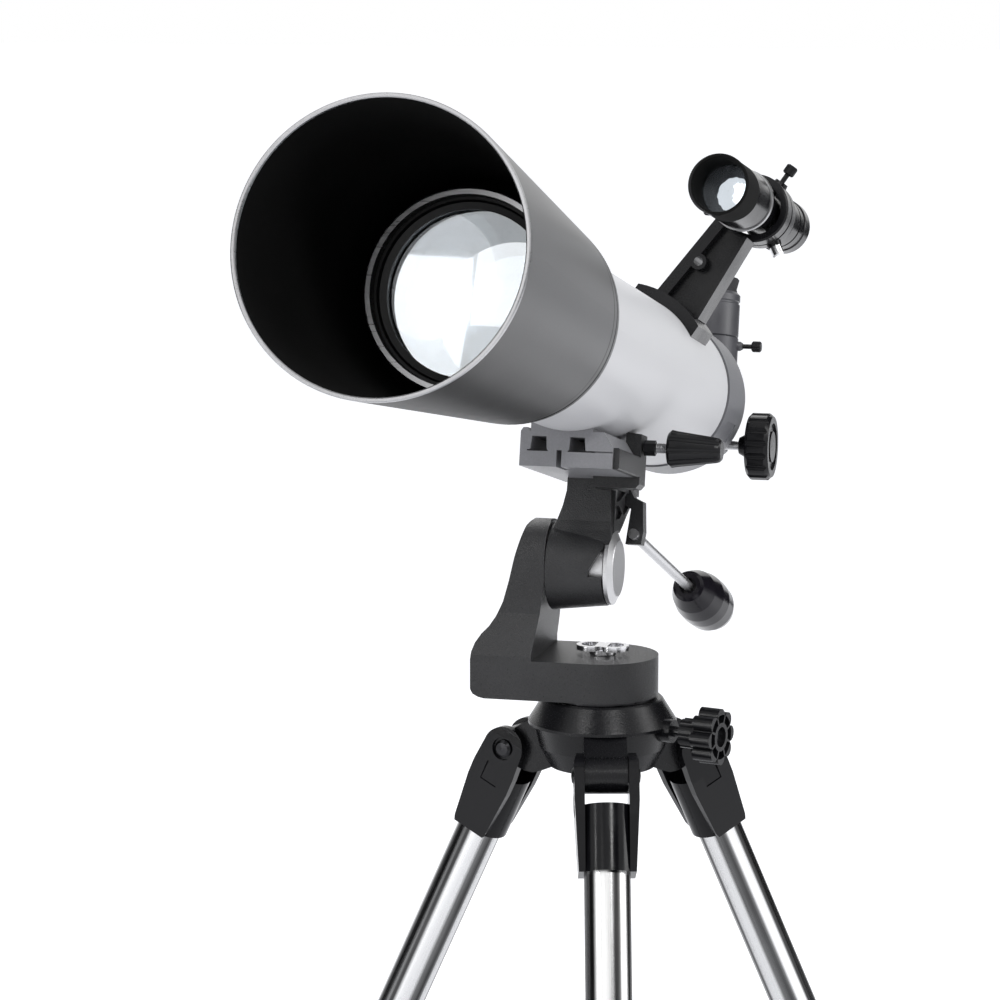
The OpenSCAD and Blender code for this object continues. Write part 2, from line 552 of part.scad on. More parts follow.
// Distance from the ring's axis to the finder's wall at the screws, in the direction a from the top of the ring
function neck_face(a) = neck_r + screw_y * sin(finder_aim) * sin(finder_angle + a);
module on_radial() on_tube() rotate([0, finder_angle, 0]) children();
module at_ring(a) on_radial() translate([0, ring_y + screw_y, finder_reach]) rotate([0, a, 0]) children();
module finder_bracket() color("#4c4c50") on_radial() difference() {
    union() {
        // curved shoe on the tube
        slab_y(shoe_back, shoe_len) difference() {
            intersection() {
                circle(r = tube_r + 6.8, $fn = 180);
                translate([-shoe_w / 2, 0]) square([shoe_w, tube_r + 10]);
            }
            circle(r = tube_r, $fn = 180);
        }
        // arm: broad rib, thin rib, recessed web and screw boss
        arm_rib(-14.5, -10.5, 6.4, shoe_back + 17);
        arm_rib(12.3, 8.3, 2.2, shoe_back + 19);
        slab_y(shoe_back + 25, 4) polygon([[-13, tube_r + 5], [-9, finder_reach - 17], [9, finder_reach - 17], [13, tube_r + 5]]);
        translate([-4.2, 0, finder_reach - 43.5]) along(shoe_back + 16) cylinder(d = 9.4, h = 12, $fn = 48);
        // split ring with a groove round it and three bosses
        translate([0, 0, finder_reach]) along(ring_y) rotate_extrude($fn = 96) polygon([[ring_bore / 2, 0],
            [ring_d / 2 - 1, 0], [ring_d / 2, 1], [ring_d / 2, 12.6], [ring_d / 2 - 1.3, 13.2], [ring_d / 2 - 1.3, 14.8],
            [ring_d / 2, 15.4], [ring_d / 2, ring_len - 1], [ring_d / 2 - 1, ring_len], [ring_bore / 2, ring_len]]);
        for (a = [0, 120, 240]) translate([0, ring_y + screw_y, finder_reach]) rotate([0, a, 0])
            translate([0, 0, ring_bore / 2 + 1]) cylinder(d1 = 10, d2 = 8, h = (ring_d - ring_bore) / 2 + 1, $fn = 48);
    }
    translate([-4.2, 0, finder_reach - 43.5]) along(shoe_back + 15) cylinder(d = 5.2, h = 30, $fn = 48);
    for (a = [0, 240]) translate([0, ring_y + screw_y, finder_reach]) rotate([0, a, 0])
        translate([0, 0, ring_bore / 2 - 1]) cylinder(d = 3.1, h = 12, $fn = 32);
    translate([0, ring_y + screw_y, finder_reach]) rotate([0, 120, 0])
        translate([0, 0, ring_bore / 2 - 1]) cylinder(d = 5, h = 12, $fn = 32);
}
arm_back = shoe_len - 1;
ring_sink = 16.5;
module arm_rib(x0, x1, w, y) slab_y(y, shoe_back + arm_back - y) polygon([[x0, tube_r + 5], [x1, finder_reach - ring_sink],
    [x1 + w, finder_reach - ring_sink], [x0 + w, tube_r + 5]]);
module finder_tube() color("#55555b") on_finder() along(finder_start) rotate_extrude($fn = 96) polygon([
    [finder_d / 2 - 1.4, 0.3], [finder_d / 2 - 0.3, 0], [finder_d / 2 + 0.3, 0.6], [finder_d / 2 + 0.3, 2.6],
    [finder_d / 2, 3], [finder_d / 2, hood_len], [neck_r, hood_len], [neck_r, hood_len + trim_w + body_len],
    [neck_r - 1.6, hood_len + trim_w + body_len], [neck_r - 1.6, neck_step], [finder_d / 2 - 3, hood_step], [finder_d / 2 - 1.8, hood_step],
    [finder_d / 2 - 1.8, 2]]);
module finder_trim() color("gainsboro") on_finder() along(finder_start + hood_len)
    rotate_extrude($fn = 96) polygon([[neck_r, 0], [finder_d / 2 + 0.6, 0], [finder_d / 2 + 0.9, 0.8],
        [finder_d / 2 + 0.9, 2], [finder_d / 2 - 1, trim_w], [neck_r, trim_w]]);
module finder_lens() color("lightblue") on_finder() along(finder_start + hood_step - 4)
    rotate_extrude($fn = 96) polygon(concat(lens_face(90, finder_d / 2 - 2.4, -0.6, 8),
        [[finder_d / 2 - 1.8, 1], [finder_d / 2 - 1.8, 4], [0, 4]]));
module finder_eyepiece() color("#3a3a3e") on_finder() along(eye_start) rotate_extrude($fn = 96) polygon([
    [0, -6], [neck_r - 1.6, -6], [neck_r - 1.6, 0], [eyepiece_end_d / 2 - 1, 0], [eyepiece_end_d / 2, 1],
    [eyepiece_end_d / 2, 14], [eyepiece_end_d / 2 - 0.8, 14.6], [eyepiece_end_d / 2 - 0.8, 16],
    [eyepiece_end_d / 2, 16.6], [eyepiece_end_d / 2, 26], [eyepiece_end_d / 2 + 0.6, 27],
    [eyepiece_end_d / 2 + 0.6, eye_len - 1], [eyepiece_end_d / 2 - 0.4, eye_len],
    [eyepiece_end_d / 2 - 4, eye_len], [eyepiece_end_d / 2 - 6, eye_len - 6], [0, eye_len - 6]]);
eye_len = finder_len - hood_len - trim_w - body_len;
module finder_screw(a) at_ring(a) translate([0, 0, neck_face(a) + turn_gap])
    thumbscrew(3, ring_d / 2 + 7 - neck_face(a), thumb_d, 6);
module finder_screw_top() color("#222226") finder_screw(0);
module finder_screw_side() color("#222226") finder_screw(240);
module finder_spring() color("gainsboro") at_ring(120) rotate_extrude($fn = 48) polygon([[0, neck_face(120)],
    [1, neck_face(120)], [2.5, neck_face(120) + 1.5], [2.5, ring_d / 2 + 2], [3.7, ring_d / 2 + 2],
    [3.7, ring_d / 2 + 7], [3, ring_d / 2 + 7.7], [0, ring_d / 2 + 7.7]]);

// ---------------------------------------------------------------- foot, saddle and clamp
foot_left = foot_x - foot_w / 2;
foot_right = foot_x + foot_w / 2;
window_x = foot_x - 1.6;
module tube_foot() color("#b4b4ba") on_tube() slab_y(-saddle_front, saddle_len) difference() {
    polygon([[foot_left + dovetail, -tube_r + 5.2], [foot_left + dovetail, -tube_r - 1], [foot_left, foot_z],
        [foot_right, foot_z], [foot_right - dovetail, -tube_r - 1], [foot_right - dovetail, -tube_r + 5.2]]);
    circle(r = tube_r, $fn = 180);
    // two channels on both sides of the middle pad
    for (s = [-1, 1]) translate([window_x, 0])
        polygon([[s * 6, foot_z - cut], [s * 6.6, -tube_r - 3.2], [s * 14.4, -tube_r - 3.2], [s * 15.4, foot_z - cut]]);
}
// Right edge of the saddle's jaw at its top
jaw_x = foot_right + 4.6;
jaw_z = foot_z + 2.4;
module saddle() color("#a8a8ae") on_tube() difference() {
    // bed with a middle pad, a thin wall on the left and the jaw on the right
    slab_y(-saddle_front, saddle_len) polygon([[-saddle_w / 2, saddle_z], [saddle_w / 2, saddle_z], [saddle_w / 2, jaw_z],
        [jaw_x, -tube_r], [foot_right - dovetail, -tube_r], [foot_right - dovetail, -tube_r - 1], [foot_right, foot_z],
        [foot_right, foot_z - 0.8], [window_x + 5.4, foot_z - 0.8], [window_x + 5.4, foot_z], [window_x - 5.4, foot_z],
        [window_x - 5.4, foot_z - 0.8], [foot_left, foot_z - 0.8], [foot_left, foot_z], [foot_left + dovetail, -tube_r - 1],
        [foot_left + dovetail - 1.6, -tube_r + 1.4], [-saddle_w / 2 + 1.4, -tube_r + 1.4], [-saddle_w / 2, -tube_r - 0.6]]);
    // groove across the front of the jaw
    translate([foot_right - 1, -saddle_front - cut, foot_z - 0.8]) cube([saddle_w, cut + 1.4, 0.8]);
    // slit in the front of the bed
    translate([-5.2, -saddle_front - cut, saddle_z - cut]) cube([2.8, 22, saddle_t + 1.2]);
    // the bed is narrower behind the jaw
    translate([jaw_x - 2, -clamp_front + lug_w / 2, saddle_z - cut]) cube([saddle_w, saddle_len, 40]);
    translate([0, -clamp_front, clamp_z]) across(foot_right - 4) cylinder(d = 5.1, h = 40);
}
// Outer face of the bracket's lug beside the saddle
lug_x = saddle_w / 2 + 3.4;
clamp_from = lug_x + 14.1;
module clamp_knob() color("#1e1e22") on_tube() translate([0, -clamp_front, clamp_z]) {
    across(foot_right + 0.4) cylinder(d = 5, h = clamp_from - foot_right);
    // nut that locks the screw
    across(lug_x + turn_gap) cylinder(d = 8.6, h = 6.4, $fn = 6);
    across(clamp_from) difference() {
        rotate_extrude($fn = 96) polygon([[0, 0], [clamp_d / 2 - 1.5, 0], [clamp_d / 2, 1.8], [clamp_d / 2 - 0.6, 5],
            [clamp_d / 2 - 3.4, clamp_len - 3], [clamp_d / 2 - 4, clamp_len - 1], [clamp_d / 2 - 5, clamp_len], [0, clamp_len]]);
        for (i = [0:8]) rotate(i * 40) translate([clamp_d / 2 + 0.9, 0, 2.5]) rotate([0, -7, 0])
            translate([0, 0, -2]) cylinder(r = 2, h = clamp_len + 6, $fn = 24);
    }
}

// ---------------------------------------------------------------- altazimuth head
bed_z = tube_h + saddle_z;
handle_at = [12, 30, 19.2];
handle_side = 6;
handle_drop = 12;
module at_handle() translate(handle_at) rotate([0, 0, -handle_side]) rotate([-90 - handle_drop, 0, 0]) children();
bed_t = 5;
bed_back = 52;
plate_y = -13;
lug_w = 15;
// Heights on the bracket follow the bed, which was drawn this far above the altitude axis
bed_drawn = 48.6;
lift = bed_z / bed_drawn;
module altitude_bracket() color("#2e2e32") aim() difference() {
    union() {
        // barrel on the altitude axis, wider at the fork arm
        across(barrel_left) rotate_extrude($fn = 96) polygon([[0, 0], [barrel_r - 0.6, 0], [barrel_r, 0.6],
            [barrel_end_r, barrel_len], [0, barrel_len]]);
        // front plate, flaring into the barrel
        intersection() {
            slab_x(60, -5) polygon([[plate_y, bed_z], [plate_y, 25], [plate_y - 1, 20], [plate_y - 3, 14], [plate_y - 6, 8],
                [-barrel_end_r, 0], [0, 0], [plate_y + 6, 13], [plate_y + 5, 22], [plate_y + 5, bed_z]]);
            slab_y(-30, 40) polygon([[-20, bed_z], [-20.1, bed_z - 7], [-21.9, 33.1 * lift], [-24.4, 25.8 * lift],
                [-26.8, 19 * lift], [-27.4, 10.7 * lift], [barrel_left, 0], [barrel_right, 0], [7, 14.9 * lift], [5.2, 37 * lift],
                [4.2, bed_z]]);
        }
        // bed plate under the saddle
        translate([-20, plate_y, bed_z - bed_t]) cube([27, bed_back - plate_y, bed_t]);
        // outer web with crossed ribs, and a plain inner web
        slab_x(1.6, 4.2) web_outline();
        slab_x(4, 5) difference() {
            web_outline();
            polygon([[-6, bed_z - bed_t], [17, bed_z - bed_t], [1.4, 37.6 * lift], [-6, 36.4 * lift]]);
            polygon([[-6, 34.2 * lift], [1.6, 34.8 * lift], [9.6, 31.2 * lift], [4.4, 28 * lift], [-6, 26.4 * lift]]);
            polygon([[20.6, bed_z - bed_t], [36, bed_z - bed_t], [32.6, 40 * lift], [21, 33 * lift],
                [14.2, 30.6 * lift], [5.2, 36 * lift]]);
        }
        slab_x(4, -17) polygon([[-10, bed_z - 2], [38, bed_z - 2], [32, bed_z - 8], [16, 26 * lift], [8, 14], [-10, 8]]);
        // lug up the side of the saddle, for the clamp screw
        translate([tube_x, 0, tube_h]) {
            slab_y(-clamp_front - lug_w / 2, lug_w) polygon([[3, saddle_z - 6], [lug_x - 2, saddle_z - 6], [lug_x, saddle_z - 3.6],
                [lug_x, -tube_r + 4.4], [jaw_x, -tube_r + 5.4], [jaw_x, -tube_r], [saddle_w / 2, jaw_z], [saddle_w / 2, saddle_z], [3, saddle_z]]);
            // thin side plate along the jaw, in front of the lug
            slab_y(-saddle_front + 2, saddle_front - clamp_front) polygon([[saddle_w / 2, saddle_z], [lug_x - 0.6, saddle_z],
                [lug_x, saddle_z + 0.6], [lug_x, jaw_z - 0.6], [lug_x - 0.6, jaw_z], [saddle_w / 2, jaw_z]]);
            translate([3, -clamp_front - lug_w / 2, saddle_z - 6]) cube([8, clamp_front + lug_w / 2 + plate_y + 4, 6]);
        }
        // block that holds the pan handle
        slab_y(handle_at[1] - 5, 9) polygon([[3, bed_z - 1], [3, 38 * lift], [8.6, 35 * lift], [6.4, handle_at[2] - 4.2],
            [15.4, handle_at[2] - 4.2], [16.4, handle_at[2] + 3], [15.3, 39.2 * lift], [10, 41.5 * lift], [7, bed_z - 1]]);
    }
    across(barrel_left - cut) cylinder(d = altitude_bolt_d + 2 * run_gap, h = 100);
    across(sleeve_x - turn_gap) cylinder(r = sleeve_r + run_gap, h = 100, $fn = 96);
    across(barrel_right) cylinder(r = cap_r + turn_gap, h = cap_w + 2 * turn_gap, $fn = 96);
    // notch that shows the sleeve
    slab_y(-30, 30) polygon([[barrel_right - 0.6, 9], [barrel_right - 7.6, -4], [barrel_right - 7.6, -6.5],
        [barrel_right + cut, -6.5], [barrel_right + cut, 9]]);
    translate([tube_x, -clamp_front, tube_h + clamp_z]) across(foot_right) cylinder(d = 5.1, h = 40);
    at_handle() translate([0, 0, -8]) cylinder(d = rod_d, h = 40, $fn = 48);
}
// Side of the bracket: its front edge is the plate, and its tail rises behind the saddle
module web_outline() polygon([[plate_y + 4, bed_z - 1], [plate_y + 4, 17 * lift], [4, 19 * lift], [12.8, 24.3 * lift],
    [22.9, 31.3 * lift], [35.9, 39.2 * lift], [43.2, 44 * lift], [bed_back + 3.6, 51.5 * lift], [bed_back + 6, 59.7 * lift],
    [bed_back + 2.5, 59.7 * lift], [bed_back - 1, 54 * lift], [44, bed_z], [40, bed_z - 1]]);
sleeve_x = barrel_right - 13;
bolt_head_x = arm_face - 12;
module altitude_bolt() color("silver") aim() translate([bolt_head_x - 6, 0, 0]) across()
    rotate_extrude($fn = 96) polygon([[0, 0], [7.5, 0], [8.5, 1], [8.5, 6], [altitude_bolt_d / 2, 6],
        [altitude_bolt_d / 2, sleeve_x - bolt_head_x + 6], [sleeve_r, sleeve_x - bolt_head_x + 6],
        [sleeve_r, cap_x - bolt_head_x + 6], [cap_r - 0.6, cap_x - bolt_head_x + 6],
        [cap_r, cap_x - bolt_head_x + 6.6], [cap_r, cap_x - bolt_head_x + 8.6], [cap_face_d / 2 + 0.4, cap_x - bolt_head_x + 5.6 + cap_w],
        [cap_face_d / 2, cap_x - bolt_head_x + 6 + cap_w], [0, cap_x - bolt_head_x + 6 + cap_w]]);
module handle_rod() color("gainsboro") aim() at_handle() translate([0, 0, -8]) cylinder(d = rod_d, h = rod_len + 8 + 14, $fn = 48);
module handle_grip() color("#1c1b22") aim() at_handle() translate([0, 0, rod_len]) difference() {
    rotate_extrude($fn = 64) polygon([[rod_d / 2, 0], [7.6, 0], [9.4, 1.4], [grip_d / 2 - 2.4, grip_len * 0.22],
        [grip_d / 2 - 0.4, grip_len * 0.42], [grip_d / 2, grip_len * 0.6], [grip_d / 2 - 0.6, grip_len * 0.8],
        [grip_d / 2 - 3, grip_len * 0.94], [grip_d / 2 - 7, grip_len], [0, grip_len], [0, 14], [rod_d / 2, 14]]);
    translate([0, 0, -cut]) cylinder(r = 5, h = 4 + cut, $fn = 48);
}
module fork_arm() color("#4c4c50") at_head() difference() {
    union() {
        // foot: a disc round the azimuth axis and a bar to the side
        intersection() {
            translate([0, 0, -foot_t]) union() {
                cylinder(r = foot_r, h = foot_t, $fn = 120);
                translate([-arm_reach, -foot_r, 0]) cube([arm_reach, foot_d, foot_t]);
            }
            slab_y(-60, 120) polygon([[-arm_reach, cut], [-arm_reach, 5 - foot_t], [-arm_reach + 1.4, 2.4 - foot_t],
                [-arm_reach + 4.6, 0.7 - foot_t], [-arm_reach + 8, -foot_t], [foot_r + cut, -foot_t], [foot_r + cut, cut]]);
        }
        // arm, curved inward, with a round top
        intersection() {
            slab_y(-60, 120) polygon([[-arm_reach, -1], [-arm_reach + 0.6, 4], [-arm_reach + 2.2, 8.6], [-arm_reach + 5.4, 13.4],
                [-arm_reach + 9.4, 17.6], [-56, 22.5], [-52, 31], [-48.6, 43], [-45.6, 56], [-42.6, 68], [-41.4, arm_h - 2.4],
                [-40, arm_h - 0.6], [-38, arm_h], [arm_face - 1, arm_h], [arm_face, arm_h - 1], [arm_face, 44],
                [arm_face - 5.2, 4], [arm_face - 5.2, -1]]);
            slab_x(140) {
                translate([0, arm_h - arm_depth / 2]) circle(d = arm_depth, $fn = 120);
                polygon([[-foot_r, -1], [-foot_r, 2], [-arm_depth / 2 - 5, 13], [-arm_depth / 2, 25], [-arm_depth / 2, arm_h - arm_depth / 2],
                    [arm_depth / 2, arm_h - arm_depth / 2], [arm_depth / 2 + 2, 40], [foot_r - 2, 24], [foot_r, 14], [foot_r, -1]]);
            }
        }
    }
    translate([0, 0, -foot_t - cut]) cylinder(d = azimuth_bolt_d + 2 * run_gap, h = foot_t + 2 * cut);
    translate([0, 0, altitude_h]) across(-80) cylinder(d = altitude_bolt_d, h = 80);
    translate([0, 0, altitude_h]) across(-80) cylinder(r = 9.4, h = 80 + bolt_head_x);
}
// Stud with a flange, fixed in the hub; the fork arm turns on it
module azimuth_washer() color("#8c8c90") at_head() {
    translate([0, 0, hub_top + turn_gap]) cylinder(d = foot_d - 2, h = washer_t);
    translate([0, 0, hub_top - 30]) cylinder(d = azimuth_bolt_d, h = 30 - hub_top + stud_top);
}
stud_top = 2.2;
module azimuth_knob() color("gainsboro") at_head() difference() {
    union() {
        translate([0, 0, turn_gap]) cylinder(d = azimuth_bolt_d + 5, h = 2.6);
        translate([0, 0, turn_gap + 2.2]) linear_extrude(2.8) difference() {
            union() {
                for (s = [-1, 1]) translate([s * 6.2, 0]) circle(r = 8.6, $fn = 64);
                square([10, 12], center = true);
            }
            for (s = [-1, 1]) difference() {
                translate([s * 6.2, 0]) circle(r = 5.8, $fn = 64);
                square([7, 20], center = true);
            }
        }
    }
    cylinder(d = azimuth_bolt_d + 2 * run_gap, h = stud_top + turn_gap);
}

// ---------------------------------------------------------------- tripod
hub_floor = -pivot_drop - 6;
module tripod_hub() color("#2a2a2e") at_head() difference() {
    union() {
        rotate_extrude($fn = 120) polygon([[0, hub_top], [skirt_r - 8.6, hub_top], [skirt_r - 7.6, hub_top - 0.8], [skirt_r - 0.6, hub_top - 12],
            [skirt_r, hub_top - 13], [skirt_r, hub_top - 14.6], [skirt_r - 1.4, hub_top - 15], [skirt_r - 3.4, hub_top - 15.4],
            [skirt_r - 4.2, hub_top - 19], [skirt_r - 6.4, hub_top - 28], [skirt_r - 12, hub_floor], [0, hub_floor]]);
        for (i = [0:2]) rotate([0, 0, leg_turn + 120 * i]) slab_x(tongue_w) {
            polygon([[-20, hub_top - 14], [-skirt_r + 4, hub_top - 14], [-skirt_r - 1, hub_top - 17], [-pivot_r + 1, -pivot_drop + 9.6],
                [-pivot_r + 4, -pivot_drop - 9.2], [-44, -pivot_drop - 12.4], [-38, -pivot_drop - 13], [-32, -pivot_drop - 11], [-20, hub_floor]]);
            translate([-pivot_r, -pivot_drop]) circle(r = 10, $fn = 64);
        }
        rotate([0, 0, leg_turn + 60]) translate([0, 0, lock_z]) rotate([90, 0, 0]) cylinder(r = 6.5, h = skirt_r + 3);
    }
    translate([0, 0, hub_top - 40]) cylinder(d = azimuth_bolt_d + 2 * run_gap, h = 41);
    for (i = [0:2]) rotate([0, 0, leg_turn + 120 * i]) translate([0, -pivot_r, -pivot_drop]) across(-30) cylinder(d = pivot_d, h = 60);
    rotate([0, 0, leg_turn + 60]) translate([0, 0, lock_z]) rotate([90, 0, 0]) translate([0, 0, 12]) cylinder(d = 6 + 2 * run_gap, h = 60);
}
module lock_knob() color("#1e1e22") at_head() rotate([0, 0, leg_turn + 60]) translate([0, 0, lock_z]) rotate([90, 0, 0]) {
    translate([0, 0, 14]) cylinder(d = 6, h = 44);
    translate([0, 0, skirt_r + 9.4]) difference() {
        union() {
            linear_extrude(12.6) difference() {
                circle(r = 8.4, $fn = 64);
                for (i = [0:7]) rotate(i * 45) translate([9.4, 0]) circle(r = 1.9, $fn = 24);
            }
            translate([0, 0, 11]) linear_extrude(12) union() {
                circle(r = 12, $fn = 64);
                for (i = [0:7]) rotate(i * 45) translate([11.4, 0]) circle(r = 4.4, $fn = 32);
            }
        }
        // face: a ring and spokes left between pockets
        translate([0, 0, 20.6]) linear_extrude(4) difference() {
            circle(r = 12.4, $fn = 64);
            difference() { circle(r = 8, $fn = 64); circle(r = 5.6, $fn = 64); }
            for (i = [0:7]) rotate(i * 45 + 22.5) translate([5.8, -0.6]) square([8, 1.2]);
        }
    }
}
module pivot_bolts() color("silver") for (i = [0:2]) leg_at(i) {
    across(-cheek_out + 1.2) cylinder(d = pivot_d, h = 2 * cheek_out - 2.4);
    for (s = [-1, 1]) rotate([0, s * 90, 0]) translate([0, 0, cheek_out - 1.2]) rotate_extrude($fn = 48)
        polygon([[0, 0], [5, 0], [5, 1], [3.6, 2.2], [0, 2.6]]);
}
module leg_bracket(i) color("#1e1e22") leg_at(i) difference() {
    union() {
        for (s = [-1, 1]) intersection() {
            slab_x(cheek_t + 4, s * (cheek_in + cheek_t / 2 + 2)) union() {
                circle(r = 12.4, $fn = 96);
                polygon([[-12.4, 0], [-13.5, -14], [-13.5, -window - 6], [-11, -bracket_len + 3], [-10, -bracket_len],
                    [10, -bracket_len], [11, -bracket_len + 3], [13.5, -window - 6], [13.5, -14], [12.4, 0]]);
            }
            slab_y(-30, 60) polygon([[s * cheek_in, 20], [s * (cheek_out - 1.6), 20], [s * (cheek_out - 1.2), 10], [s * cheek_out, 6], [s * cheek_out, -16],
                [s * (leg_d / 2 + 3), -bracket_len], [s * cheek_in, -bracket_len]]);
        }
        translate([0, 0, -bracket_len]) cylinder(r = leg_d / 2 + 2.9, h = bracket_len - window, $fn = 96);
    }
    // tube socket, bolt bore and bolt head recess
    translate([0, 0, -bracket_len - cut]) cylinder(d = leg_d, h = bracket_len + cut - leg_top, $fn = 96);
    across(-40) cylinder(d = pivot_d + 2 * run_gap, h = 80);
    for (s = [-1, 1]) rotate([0, s * 90, 0]) translate([0, 0, cheek_out - 1.6]) cylinder(r = 6.6, h = 10);
    // panel recess below the bolt
    for (s = [-1, 1]) translate([s * (cheek_out + 3.9), 0, -17]) cube([10, 11, 12], center = true);
}
module upper_leg(i) color("gainsboro") leg_at(i) translate([0, 0, -leg_bottom])
    ring(leg_d, leg_d - 2 * leg_wall, upper_len, $fn = 96);
boss_y = leg_d / 2 + 3;
module leg_clamp(i) color("#1e1e22") leg_at(i) difference() {
    union() {
        translate([0, 0, -sleeve_end]) rotate_extrude($fn = 96) polygon([[lower_d / 2 + run_gap, 0], [leg_d / 2 + 1.6, 0], [leg_d / 2 + 2.8, 1.4],
            [leg_d / 2 + 2.8, 10], [leg_d / 2 + 3.6, 11], [leg_d / 2 + 3.6, 27], [leg_d / 2 + 2.8, 28], [leg_d / 2 + 2, clamp_sleeve - 1],
            [leg_d / 2 + 1.4, clamp_sleeve], [leg_d / 2, clamp_sleeve], [leg_d / 2, 8], [lower_d / 2 + run_gap, 8]]);
        translate([0, 0, -sleeve_end + 19]) rotate([90, 0, 0]) translate([0, 0, leg_d / 2 + 1]) cylinder(r = 6.5, h = 7);
    }
    translate([0, 0, -sleeve_end + 19]) rotate([90, 0, 0]) translate([0, 0, leg_d / 2 - 0.5]) cylinder(d = 5.1, h = 12);
}
module leg_knob(i) color("#1e1e22") leg_at(i) translate([0, 0, -sleeve_end + 19]) rotate([90, 0, 0]) {
    translate([0, 0, leg_d / 2 + turn_gap]) cylinder(d = 5, h = 9);
    translate([0, 0, leg_d / 2 + 8 + turn_gap]) linear_extrude(8) union() {
        circle(r = 7, $fn = 48);
        for (k = [0:4]) rotate(k * 72) translate([7, 0]) circle(r = 2.6, $fn = 32);
    }
}
module lower_leg(i) color("gainsboro") leg_at(i) translate([0, 0, -lower_end])
    ring(lower_d, lower_d - 2 * leg_wall, lower_end - lower_top, $fn = 96);
// Rubber foot, cut level with the floor
module rubber_foot(i) color("#26262a") difference() {
    leg_at(i) translate([0, 0, -foot_reach]) rotate_extrude($fn = 96) polygon([[0, -12], [lower_d / 2 + 4, -12], [lower_d / 2 + 4, 3],
        [lower_d / 2 + 2.4, 6], [lower_d / 2 + 2, rubber_h - 1], [lower_d / 2 + 1.4, rubber_h], [lower_d / 2, rubber_h], [lower_d / 2, rubber_h - 8 - 10], [0, rubber_h - 18]]);
    translate([-1000, -1000, -100]) cube([2000, 2000, 100]);
}

dew_shield();
shield_rim();
lens_cell();
cell_ring();
crown_lens();
flint_lens();
main_tube();
tube_baffles();
rear_cell();
focuser_body();
drawtube();
pinion();
focus_knobs();
drawtube_screw();
diagonal_body();
diagonal_mirror();
diagonal_screw();
eyepiece_barrel();
eyepiece_body();
eyecup();
eye_lens();
finder_bracket();
finder_tube();
finder_trim();
finder_lens();
finder_eyepiece();
finder_screw_top();
finder_screw_side();
finder_spring();
tube_foot();
saddle();
clamp_knob();
altitude_bracket();
altitude_bolt();
handle_rod();
handle_grip();
fork_arm();
azimuth_washer();
azimuth_knob();
tripod_hub();
lock_knob();
pivot_bolts();
leg_bracket(0);  // leg_bracket_1
upper_leg(0);  // upper_leg_1
leg_clamp(0);  // leg_clamp_1
leg_knob(0);  // leg_knob_1
lower_leg(0);  // lower_leg_1
rubber_foot(0);  // rubber_foot_1
leg_bracket(1);  // leg_bracket_2
upper_leg(1);  // upper_leg_2
leg_clamp(1);  // leg_clamp_2
leg_knob(1);  // leg_knob_2
lower_leg(1);  // lower_leg_2
rubber_foot(1);  // rubber_foot_2
leg_bracket(2);  // leg_bracket_3
upper_leg(2);  // upper_leg_3
leg_clamp(2);  // leg_clamp_3
leg_knob(2);  // leg_knob_3
lower_leg(2);  // lower_leg_3
rubber_foot(2);  // rubber_foot_3
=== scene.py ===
import json
import math

import bmesh
import bpy
import numpy as np
from mathutils import Matrix, Vector


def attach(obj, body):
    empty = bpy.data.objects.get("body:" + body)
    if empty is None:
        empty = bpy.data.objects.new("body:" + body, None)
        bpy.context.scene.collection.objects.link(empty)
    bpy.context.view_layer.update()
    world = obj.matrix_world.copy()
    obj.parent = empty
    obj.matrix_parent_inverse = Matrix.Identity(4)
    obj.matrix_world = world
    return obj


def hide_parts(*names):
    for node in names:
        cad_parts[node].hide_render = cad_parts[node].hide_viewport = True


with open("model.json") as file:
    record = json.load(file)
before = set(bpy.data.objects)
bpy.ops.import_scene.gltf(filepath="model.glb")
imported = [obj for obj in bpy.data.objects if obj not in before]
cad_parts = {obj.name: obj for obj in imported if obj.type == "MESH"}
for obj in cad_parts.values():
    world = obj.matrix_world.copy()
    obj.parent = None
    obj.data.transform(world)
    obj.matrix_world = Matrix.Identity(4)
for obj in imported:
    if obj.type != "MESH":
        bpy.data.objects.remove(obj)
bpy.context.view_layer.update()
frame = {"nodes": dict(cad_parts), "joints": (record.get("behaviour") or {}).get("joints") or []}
nodes = frame["nodes"]
joints = {joint["name"]: joint for joint in frame["joints"]}
scene = bpy.context.scene
print("frame loaded:", len(nodes), "nodes")

headCentre = Vector(joints["azimuth"]["pos_m"])
altitudeAxis = Vector(joints["altitude"]["pos_m"])

# The tube's own frame has y along the tube toward the eyepiece and z up through it
tubePose = {"noseUp": 13.0, "offset": (-0.004, 0.0, 0.113)}
tubeTurn = Matrix.Rotation(math.radians(-tubePose["noseUp"]), 4, "X")
tubeFrame = Matrix.Translation(altitudeAxis) @ tubeTurn @ Matrix.Translation(tubePose["offset"])
alongTube = tubeFrame @ Matrix.Rotation(math.radians(-90), 4, "X")  # z runs toward the eyepiece


def addObject(name, data):
    made = bpy.data.objects.new(name, data)
    scene.collection.objects.link(made)
    return made


def nodeSpan(name, matrix):
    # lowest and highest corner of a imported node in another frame, in metres
    mesh = nodes[name].data
    points = np.empty(len(mesh.vertices) * 3)
    mesh.vertices.foreach_get("co", points)
    back = np.array(matrix.inverted())
    points = points.reshape(-1, 3) @ back[:3, :3].T + back[:3, 3]
    return points.min(0), points.max(0)


def legFrame(index):
    # z runs down the leg's axis
    turn = Vector(joints[f"leg_{index}_extend"]["axis"]).to_track_quat("Z", "Y").to_matrix().to_4x4()
    return Matrix.Translation(joints[f"leg_{index}_fold"]["pos_m"]) @ turn


# Shader helpers

